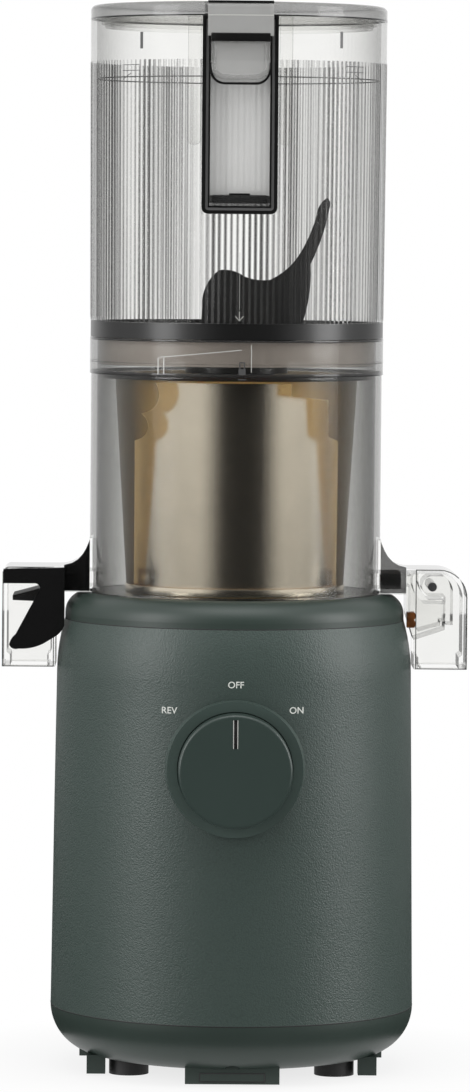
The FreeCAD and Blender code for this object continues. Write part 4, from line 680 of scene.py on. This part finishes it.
@dataclass
class Base(Assembly):
    """Motor base: seam gaskets, dial lettering and the cord hook's recess, whose dark plate is painted shade.
    """

    body = "base"
    rings = (("top_seam_gasket", (73.06, 1.0, 193.75, 194.25, 0.12), Look.RUBBER),
             ("bottom_seam_gasket", (78.36, 1.0, 26.95, 27.45, 0.12), Look.RUBBER))
    labels: tuple[tuple[str, float, float], ...] = (("OFF", 0.1, 171.0), ("REV", -27.8, 159.8),
                                                    ("ON", 25.7, 160.2))
    label_height: float = 3.9
    label_front: float = 82.0
    label_weight: float = 0.04
    label_curve: int = 6
    label_lift: float = 0.08
    recess: Box = ((-14.0, -63.35, 1.6), (14.0, -62.2, 5.6))
    recess_sink: Pair = (0.7, 0.5)
    recess_edge: float = 0.15

    def label(self, word: str, across: float, height: float) -> None:
        """Prints one word of the dial on the casing, with its middle at an X and a Z."""
        Bench.only()
        bpy.ops.object.text_add(location=(across * MM, -self.label_front * MM, height * MM),
                                rotation=(math.pi / 2, 0, 0))
        text = bpy.context.object.data
        text.body = word
        text.size = self.label_height * MM
        text.align_x = text.align_y = "CENTER"
        text.resolution_u = self.label_curve
        text.offset = self.label_weight * MM
        bpy.ops.object.convert(target="MESH")
        piece = Bench.settle("dial_label_" + word.lower())
        dress(Bench.wrapped(piece, "body_shell", self.label_lift), Look.INK, self.body)

    def build(self) -> None:
        """Adds the dial's words and the dark recess plate of the front hook, which is painted shade."""
        super().build()
        for word, across, height in self.labels:
            self.label(word, across, height)
        # The recess plate's black finish is painted shade in the hook's recess.
        piece = Bench.block("cord_hook_recess_shade", *self.recess)
        Bench.sink(piece, self.recess_sink, faces_front)
        dress(Bench.round_off(piece, self.recess_edge), Look.RUBBER, self.body)


@dataclass
class Knob(Assembly):
    """Speed knob: pale raised edges beside the pointer slot, as painted highlights, and a dark plate on its
    floor, as painted shade.
    """

    body = "knob"
    # The black plate on the slot's floor is painted shade.
    slabs = (("pointer_slot_painted_shade", ((-0.68, -89.4, 145.6), (0.68, -89.15, 157.4)), 0.1, Look.RUBBER),)
    edge: Box = ((0.7, -90.02, 145.5), (1.1, -89.5, 157.5))
    edge_round: float = 0.12

    def build(self) -> None:
        """Adds the two raised edges of the pointer slot, pale as painted highlights."""
        super().build()
        edges = [Bench.round_off(Bench.block("slot_edge", *mirrored(self.edge, sign)), self.edge_round)
                 for _, sign in SIDES]
        dress(Bench.joined("pointer_slot_painted_highlights", edges), Look.PALE_MARK_AND_HIGHLIGHT, self.body)


@dataclass
class Chamber(Assembly):
    """Clear chamber: painted shade lines at its walls' edges, outlet trim, strainer gasket, collar lines and
    lock mark.
    """

    body = "chamber"
    # The thin dark sleeve inside the wall paints, where it is seen edge on, the dark lines that the thick
    # wall's lens effect makes: painted shade.
    rings = (("chamber_wall_edge_shade", (59.95, 0.25, 206.0, 297.3, 0.05), Look.EDGE),
             ("strainer_gasket", (59.9, 7.8, 297.6, 299.8, 0.4), Look.SMOKE),
             ("collar_upper_step", (63.16, 0.5, 314.1, 315.0, 0.12), Look.SMOKE),
             ("collar_middle_step", (63.16, 0.5, 304.6, 305.0, 0.12), Look.CLEAR),
             ("collar_lower_step", (63.16, 0.5, 299.6, 300.9, 0.12), Look.SMOKE),
             ("screen_foot_band", (47.15, 0.3, 205.8, 209.2, 0.08), Look.STEEL))
    lines = (("collar_ramp_lines", ((-15.75, 309.3, 34.6671, 0.35, -5.6283, 5), (-33.6, 304.0, 0.45, 6.8),
                                    (-31.2, 304.0, 0.45, 6.8), (5.6, 307.4, 0.3, 11.5)), Look.PALE_MARK_AND_HIGHLIGHT),
             ("collar_lock_mark", ((1.7, 301.8, 3.0, 2.6), (0.75, 304.3, 0.5, 2.6), (2.65, 304.3, 0.5, 2.6),
                                   (1.7, 305.7, 2.4, 0.5), (1.7, 298.6, 3.4, 0.5)), Look.MARK))
    lines_on = "juice_chamber"
    lines_lift = 0.12
    web: Box = ((62.4, -15.8, 206.3), (73.4, -14.2, 217.4))
    web_neck: float = 217.1
    web_curve: tuple[Pair, ...] = ((62.4, 11.0), (64.0, 7.2), (65.5, 4.6), (67.5, 2.4), (70.0, 0.9))
    web_edge: float = 0.2
    hood: Pair = (88.6, 195.1)
    hood_size: Pair = (22.2, 42.9)
    hood_front: float = 16.1
    hood_corners: tuple[Pair, ...] = ((3.0, 8), (12.0, 8))
    hood_inside: Row = (82.0, 98.0, 178.0, 213.5)
    hood_line: float = 0.45
    hood_deep: float = 0.5
    hood_edge: float = 0.08
    mouth: Box = ((79.6, -15.9, 173.7), (99.7, 15.9, 174.4))
    mouth_wall: float = 0.8
    mouth_edge: float = 0.15

    def outlines(self) -> None:
        """Dark lines round the front faces of both outlet hoods, as painted shade at their clear edges."""
        across, up = self.hood
        near, far, low, high = self.hood_inside
        for (side, sign), corner in zip(SIDES, self.hood_corners):
            piece = Bench.bar(f"hood_edge_shade_{side}", sign * across, up, *self.hood_size,
                              front=self.hood_front)
            Bench.round_corners(piece, corner, lambda spot, _: abs(spot.x) > across and spot.z > up, "VERT")
            with Bench.editing(piece):
                bpy.ops.mesh.inset(thickness=self.hood_line * MM)
            Bench.remove(piece, lambda middle, _: near < abs(middle.x) < far and low < middle.z < high)
            Bench.thicken(piece, self.hood_deep)
            Bench.outwards(piece)
            # The dark frame is painted shade along the clear hood's edges.
            dress(Bench.round_off(piece, self.hood_edge, 1), Look.SMOKE, self.body)

    def mouths(self) -> None:
        """Dark lips round the mouths of both outlet hoods."""
        for side, sign in SIDES:
            lip = Bench.block(f"outlet_lip_{side}", *mirrored(self.mouth, sign))
            for way in (1, -1):
                with Bench.editing(lip, pick=lambda _, normal, way=way: normal.z * way > FACING):
                    bpy.ops.mesh.inset(thickness=self.mouth_wall * MM)
                    bpy.ops.mesh.delete(type="FACE")
            dress(Bench.round_off(lip, self.mouth_edge), Look.PALE, self.body)

    def webs(self) -> None:
        """Dark webs that join the outlet hoods to the chamber wall."""
        for (side, sign), finish in zip(SIDES, (Look.BLACK, Look.SMOKE)):
            web = Bench.block(f"outlet_web_{side}", *mirrored(self.web, sign))
            Bench.cut(web, (0, 0, self.web_neck), (0, 0, 1))
            for place, _ in self.web_curve[1:]:
                Bench.cut(web, (sign * place, 0, 0), (1, 0, 0))
            for place, rise in self.web_curve:
                with Bench.editing(web, "VERT", lambda spot, _, place=place: abs(abs(spot.x) - place) < NEAR
                                   and spot.z > self.web[1][2] - NEAR):
                    bpy.ops.transform.translate(value=(0, 0, rise * MM))
            dress(Bench.round_off(web, self.web_edge), finish, self.body)

    def build(self) -> None:
        """Adds the outlets' trim."""
        super().build()
        self.outlines()
        self.mouths()
        self.webs()


@dataclass
class Hopper(Assembly):
    """Fluted hopper shell, its channel frame, sill tray, guide strips, liner and marks."""

    body = "hopper"
    rings = (("ring_liner", (59.5, 0.6, 303.6, 314.9, 0.15), Look.LINER),
             ("lid_seat_step", (61.0, 0.5, 425.4, 425.9, 0.1), Look.SMOKE))
    lines = (("turning_arrow", ((-0.5, 324.3, 2.6, 0.3, 48, 2), (1.3, 324.3, 2.6, 0.3, -48, 2),
                                (0.4, 325.2, 0.3, 4.0, 0, 2), (0.4, 340.0, 0.16, 24.0, 0, 2)),
              Look.PALE_MARK_AND_HIGHLIGHT),
             ("hopper_level_marks", ((-41.5, 440.8, 1.2, 7.0, 0, 2), (42.7, 441.6, 1.2, 7.0, 0, 2),
                                     (-45.8, 430.6, 7.4, 0.3, 0, 3), (-45.8, 428.2, 7.4, 0.3, 0, 3),
                                     (-47.6, 425.8, 4.4, 0.3, -38, 3), (48.6, 430.6, 7.4, 0.3, 0, 3),
                                     (48.6, 428.2, 7.4, 0.3, 0, 3), (50.4, 425.8, 4.4, 0.3, 38, 3)),
              Look.MARK))
    lines_on = "hopper_shell"
    lines_lift = 0.25
    low: float = 322.02
    top: float = 451.1
    low_radius: float = 62.9
    high_radius: float = 63.6
    wall: float = 2.5
    flutes: int = 150
    columns: int = 4
    flute_low: float = 324.0
    flute_top: float = 432.8
    flute_end: float = 0.4
    flute_depth: float = 0.16
    shell_smooth: float = 40.0
    gap_play: float = 0.05
    gap_margin: float = 4.0
    merge: float = 0.01
    channel_half: float = 15.9
    channel_low: float = 368.0
    channel_high: float = 450.8
    channel_front: float = 66.5
    channel_back: float = 59.5
    channel_corner: Pair = (2.8, 6)
    channel_steps: tuple[Pair, ...] = ((1.5, 0.0), (0.05, 0.9), (1.05, 0.0), (0.05, -0.7), (0.75, 0.0))
    channel_edge: float = 0.2
    pane: Pair = (372.0, 440.8)
    rail: Pair = (-66.0, -65.0)
    sill: Box = ((-12.4, -65.3, 371.2), (12.4, -61.2, 375.8))
    sill_wall: float = 0.9
    sill_deep: float = 3.4
    sill_edge: float = 0.25
    catch: tuple[tuple[Box, float], ...] = ((((-4.4, -64.1, 375.8), (4.4, -61.4, 376.7)), 0.2),
                                            (((-11.3, -63.9, 375.5), (11.3, -61.4, 376.0)), 0.1))
    strip: Box = ((16.4, -64.8, 397.0), (21.9, -60.6, 450.6))
    strip_corner: Pair = (2.2, 5)
    strip_sink: Pair = (1.3, 0.8)
    strip_edge: float = 0.4

    def on_flute(self, phase: int) -> Pick:
        """Picks the fluted part's points in every fourth column, counted from one of them."""
        step = math.tau / (self.flutes * self.columns)

        def test(spot: Vector, _: Vector) -> bool:
            """Tells whether a point is in such a column."""
            column = round(math.atan2(spot.x, spot.y) / step) % self.columns
            return column == phase and self.flute_low - self.flute_end < spot.z < self.flute_top
        return test

    def shell(self) -> None:
        """Fluted clear shell with the gap for the channel."""
        piece = Bench.tube("fluted_hopper_shell", self.low_radius, self.low, self.top,
                           self.flutes * self.columns)
        grow = self.high_radius / self.low_radius
        with Bench.editing(piece, "VERT", lambda spot, _: spot.z > self.top - NEAR):
            bpy.ops.transform.resize(value=(grow, grow, 1), center_override=(0, 0, 0))
        for height in (self.flute_low, self.flute_top - self.flute_end, self.flute_top + self.flute_end):
            Bench.cut(piece, (0, 0, height), (0, 0, 1))
        for phase, move in ((0, self.flute_depth), (self.columns // 2, -self.flute_depth)):
            with Bench.editing(piece, "VERT", self.on_flute(phase)):
                bpy.ops.transform.shrink_fatten(value=move * MM)
        half = self.channel_half + self.gap_play
        for place, normal in (((-half, 0, 0), (1, 0, 0)), ((half, 0, 0), (1, 0, 0)),
                              ((0, 0, self.channel_low - self.gap_play), (0, 0, 1))):
            Bench.cut(piece, place, normal,
                      lambda middle, _: middle.y < 0 and abs(middle.x) < half + self.gap_margin)
        Bench.remove(piece, lambda middle, _: middle.y < 0 and abs(middle.x) < half
                     and middle.z > self.channel_low)
        with Bench.editing(piece):
            bpy.ops.mesh.remove_doubles(threshold=self.merge * MM)
        Bench.finish(piece, "SOLIDIFY", thickness=self.wall * MM, offset=-1)
        Bench.smooth(piece, self.shell_smooth)
        dress(piece, Look.FLUTED, self.body, "hopper_shell")

    def in_pane(self, middle: Vector, _: Vector) -> bool:
        """Picks the channel frame's inmost face."""
        return abs(middle.x) < 1 and self.pane[0] < middle.z < self.pane[1]

    def channel(self) -> None:
        """Black channel frame with a sunk grey rail and rounded lower corners."""
        piece = Bench.bar("channel_frame", 0.0, (self.channel_low + self.channel_high) / 2,
                          2 * self.channel_half, self.channel_high - self.channel_low,
                          front=self.channel_front)
        Bench.round_corners(piece, self.channel_corner,
                            lambda spot, _: spot.z < self.channel_low + NEAR, "VERT")
        for step in self.channel_steps:
            Bench.sink(piece, step, self.in_pane)
        Bench.remove(piece, self.in_pane)
        Bench.thicken(piece, self.channel_front - self.channel_back)
        with Bench.editing(piece, "VERT", lambda spot, _: spot.y > -self.channel_back - 1):
            bpy.ops.transform.resize(value=(1, 0, 1), center_override=(0, -self.channel_back * MM, 0))
        Bench.outwards(piece)
        two_tone(piece, Look.BLACK, Look.RAIL, *self.rail)
        dress(Bench.round_off(piece, self.channel_edge), Look.BLACK, self.body, "hopper_channel")

    def sill_tray(self) -> None:
        """Shallow dark tray at the foot of the window, with its catch."""
        piece = Bench.block("channel_sill_tray", *self.sill)
        with Bench.editing(piece, pick=lambda _, normal: normal.z > FACING):
            bpy.ops.mesh.inset(thickness=self.sill_wall * MM)
            bpy.ops.mesh.extrude_region_move(TRANSFORM_OT_translate={"value": (0, 0, -self.sill_deep * MM)})
        dress(Bench.round_off(piece, self.sill_edge), Look.SMOKE, self.body)
        both = [Bench.round_off(Bench.block("catch", *box), edge) for box, edge in self.catch]
        dress(Bench.joined("channel_catch", both), Look.BLACK, self.body)

    def guides(self) -> None:
        """Clear guide strips with rounded feet beside the channel."""
        foot = lower_edges(self.strip[0][2] + 1)
        for side, sign in SIDES:
            strip = Bench.block(f"guide_strip_{side}", *mirrored(self.strip, sign))
            Bench.round_corners(strip, self.strip_corner, foot)
            Bench.sink(strip, self.strip_sink, faces_front)
            dress(Bench.round_off(strip, self.strip_edge), Look.CLEAR, self.body)

    def build(self) -> None:
        """Adds the shell and everything about its channel."""
        super().build()
        self.shell()
        self.channel()
        self.sill_tray()
        self.guides()


@dataclass
class Lid(Assembly):
    """Lid details: its seam and the arm's bars."""

    body = "lid"
    rings = (("lid_seam", (63.68, 1.2, 450.95, 451.55, 0.1), Look.BLACK),)
    slabs = (("arm_lower_bar", ((-12.4, -70.5, 439.9), (12.4, -68.7, 443.5)), 0.3, Look.BLACK),
             ("arm_top_edge", ((-13.8, -70.22, 455.9), (13.8, -63.8, 457.0)), 0.3, Look.BLACK),
             ("arm_seam_line", ((-13.6, -70.26, 450.6), (13.6, -69.9, 451.1)), 0.08, Look.PALE_MARK_AND_HIGHLIGHT))


@dataclass
class Button(Assembly):
    """Push button under the lid's arm, with the dark band round its lower edge."""

    body = "button"
    box: Box = ((-12.2, -68.5, 424.2), (12.2, -65.1, 441.6))
    corner: Pair = (5.6, 10)
    steps: tuple[Pair, ...] = ((1.0, 0.0), (1.2, 1.0))
    edge: float = 0.4
    edge_cuts: int = 3
    pad: Pair = (425.9, 440.2)
    sunk: Pair = (-67.7, -65.0)
    band: Box = ((-12.35, -67.9, 422.5), (12.35, -64.9, 431.2))
    band_corner: Pair = (5.8, 10)
    band_wall: float = 1.0
    band_edge: float = 0.12

    def on_pad(self, middle: Vector, normal: Vector) -> bool:
        """Picks the inmost face of the button's front."""
        return (faces_front(middle, normal) and abs(middle.x) < 1
                and self.pad[0] < middle.z < self.pad[1])

    def build(self) -> None:
        """Builds the D-shaped button, with a pale rim round a sunk grey pad, and its band."""
        super().build()
        low = self.box[0][2]
        piece = Bench.block("push_button", *self.box)
        Bench.round_corners(piece, self.corner, lower_edges(low + 1))
        for step in self.steps:
            Bench.sink(piece, step, self.on_pad)
        two_tone(piece, Look.BUTTON, Look.ARM, *self.sunk)
        dress(Bench.round_off(piece, self.edge, self.edge_cuts), Look.BUTTON, self.body, "lid_button")
        band = Bench.block("button_lower_edge", *self.band)
        Bench.round_corners(band, self.band_corner, lower_edges(low))
        Bench.remove(band, lambda _, normal: abs(normal.y) > FACING or normal.z > FACING)
        Bench.finish(band, "SOLIDIFY", thickness=self.band_wall * MM, offset=0)
        dress(Bench.round_off(band, self.band_edge), Look.BLACK, self.body)


@dataclass
class Studio:
    """Pale floor, soft lamps, black flags and the camera of the photograph.

    A lamp's row is its name, azimuth, rise, distance, width, height and watts. A flag's row is its azimuth,
    half its width, its soft edge and its strength.
    """

    distance: float = 2.4470
    eye: float = 0.361
    aim: float = 0.2252
    yaw: float = 0.6
    roll: float = 0.47
    lens: float = 186.95
    sensor: float = 36.0
    clip: Pair = (0.05, 100.0)
    floor_size: float = 30.0
    floor_albedo: Colour = (0.9, 0.9, 0.9, 1.0)
    floor_near: float = 0.1
    floor_fade: float = 1.8
    floor_least: float = 0.9
    world_light: float = 0.42
    lamp_aim: float = 0.23
    lamps: tuple[tuple[str, float, float, float, float, float, float], ...] = (
        ("left_softbox", -59.0, 8.0, 1.9, 0.7, 1.9, 22.0), ("right_softbox", 74.0, 6.0, 1.9, 0.8, 1.9, 27.0),
        ("top_softbox", 0.0, 66.0, 1.8, 1.4, 1.2, 12.0))
    flags: tuple[Row, ...] = (
        (7.0, 34.0, 11.0, 1.0), (-118.0, 16.0, 10.0, 0.35), (126.0, 16.0, 10.0, 0.35))
    flag_tube: Row = (2900.0, 1.0, 1700.0, 96)
    flag_inner: float = 0.03
    flag_cloth: Colour = (0.015, 0.015, 0.015, 1.0)
    flag_floor: float = 0.0015

    @staticmethod
    def hang(data: bpy.types.Camera | bpy.types.Light) -> Piece:
        """Puts a camera or a lamp into the scene."""
        made = bpy.data.objects.new(data.name, data)
        bpy.context.scene.collection.objects.link(made)
        return made

    def camera(self) -> None:
        """Sets the camera at eye level, turned a little down and to the side."""
        data = bpy.data.cameras.new("photo_camera")
        data.lens = self.lens
        data.sensor_width = self.sensor
        data.clip_start, data.clip_end = self.clip
        camera = self.hang(data)
        angle = math.radians(self.yaw)
        level = math.sqrt(self.distance ** 2 - (self.eye - self.aim) ** 2)
        camera.location = (-level * math.sin(angle), -level * math.cos(angle), self.eye)
        towards = Vector((0, 0, self.aim)) - camera.location
        turn = towards.to_track_quat("-Z", "Y").to_matrix().to_4x4()
        turn = turn @ Matrix.Rotation(math.radians(self.roll), 4, "Z")
        camera.rotation_euler = turn.to_euler()
        bpy.context.scene.camera = camera

    def light(self) -> None:
        """Hangs the soft lamps round the object; they spare the steel, which shines by reflections alone."""
        spared_pieces = (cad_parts["strainer_screen"], bpy.data.objects["screen_foot_band"])
        for name, azimuth, rise, away, width, height, watts in self.lamps:
            data = bpy.data.lights.new(name, "AREA")
            data.shape = "RECTANGLE"
            data.size = width
            data.size_y = height
            data.energy = watts
            lamp = self.hang(data)
            side = math.radians(azimuth)
            up = math.radians(rise)
            place = Vector((math.sin(side) * math.cos(up), -math.cos(side) * math.cos(up), math.sin(up)))
            place *= away
            lamp.location = place + Vector((0, 0, self.lamp_aim))
            lamp.rotation_euler = (-place).to_track_quat("-Z", "Y").to_euler()
            spared = bpy.data.collections.new(name + "_spares")
            for number, piece in enumerate(spared_pieces):
                spared.objects.link(piece)
                spared.collection_objects[number].light_linking.link_state = "EXCLUDE"
            lamp.light_linking.receiver_collection = spared

    def world(self) -> None:
        """White ground for the eye, for gloss and for glass, and a softer light on the object."""
        world = bpy.data.worlds.new("studio_world")
        bpy.context.scene.world = world
        world.use_nodes = True
        shader = Shader(world.node_tree)
        white = self.white_paths(shader)
        background = shader.node("Background", {},
                                 {"Color": WHITE, "Strength": white + (1.0 - white) * self.world_light})
        shader.node("OutputWorld", {}, {"Surface": background})

    @staticmethod
    def white_paths(shader: Shader) -> Wire:
        """Gives 1 for camera, glossy and transmitted rays and 0 for the light on the object."""
        names = ("Is Camera Ray", "Is Glossy Ray", "Is Transmission Ray")
        camera, glossy, through = (shader.node("LightPath", output=name) for name in names)
        return (camera + glossy + through).clamp()

    def floor(self) -> None:
        """Lays the pale floor, which keeps a soft shadow."""
        Bench.only()
        bpy.ops.mesh.primitive_plane_add(size=self.floor_size, location=(0, 0, 0))
        floor = bpy.context.object
        floor.name = "studio_floor"
        material, shader = new_material("pale_floor")
        matt = shader.node("BsdfDiffuse", {}, {"Color": self.floor_albedo})
        bright = shader.node("Emission", {}, {"Color": WHITE, "Strength": 1.0})
        where = shader.place()
        away = shader.node("VectorMath", {"operation": "LENGTH"}, {0: where}, output="Value")
        fade = ((away - self.floor_near) * self.floor_fade + self.floor_least).clamp()
        share = self.white_paths(shader) * fade
        shader.surface(shader.layer(share, matt, bright))
        floor.data.materials.append(material)

    def black_flags(self) -> None:
        """Hangs black flags round the set, seen only in reflections, which give the steel its dark stripe."""
        flag = Bench.tube("black_flags", *self.flag_tube)
        with Bench.editing(flag, "EDGE", lambda a, b: max(a.z, b.z) < 2):
            bpy.ops.mesh.extrude_region_move()
            bpy.ops.transform.resize(value=(self.flag_inner, self.flag_inner, 1), center_override=(0, 0, 0))
        material, shader = new_material("flag_cloth")
        where = shader.place()
        across = shader.part(where, "X")
        around = across.maths("ARCTAN2", across, shader.part(where, "Y") * -1.0)
        share = 0.0
        for middle, half, soft, full in self.flags:
            turned = around - math.radians(middle)
            off = turned.maths("ABSOLUTE", turned)
            share = ((math.radians(half + soft) - off) * (1 / math.radians(soft * 2))).clamp() * full + share
        dark = shader.node("Emission", {}, {"Color": self.flag_cloth, "Strength": 1.0})
        on_floor = 1.0 - (shader.part(where, "Z") > self.flag_floor)
        shader.surface(shader.layer((share + on_floor).clamp(), shader.clear(WHITE), dark))
        flag.data.materials.append(material)
        for rays in ("camera", "diffuse", "shadow", "transmission"):
            setattr(flag, "visible_" + rays, False)

    def build(self) -> None:
        """Sets everything up."""
        self.camera()
        self.world()
        self.light()
        self.floor()
        self.black_flags()
        scene = bpy.context.scene
        scene.view_settings.view_transform = "Standard"
        scene.cycles.transparent_max_bounces = 32


def main() -> None:
    """Builds the scene in order and reports it."""
    logging.basicConfig(level=logging.INFO, format="%(message)s")
    dress_frame()
    LOG.info("dressed %d packed pieces", len(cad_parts))
    for part in (Base(), Knob(), Chamber(), Hopper(), Lid(), Button()):
        part.build()
        LOG.info("%s done", type(part).__name__)
    Studio().build()
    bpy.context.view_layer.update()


if __name__ == "__main__":
    main()
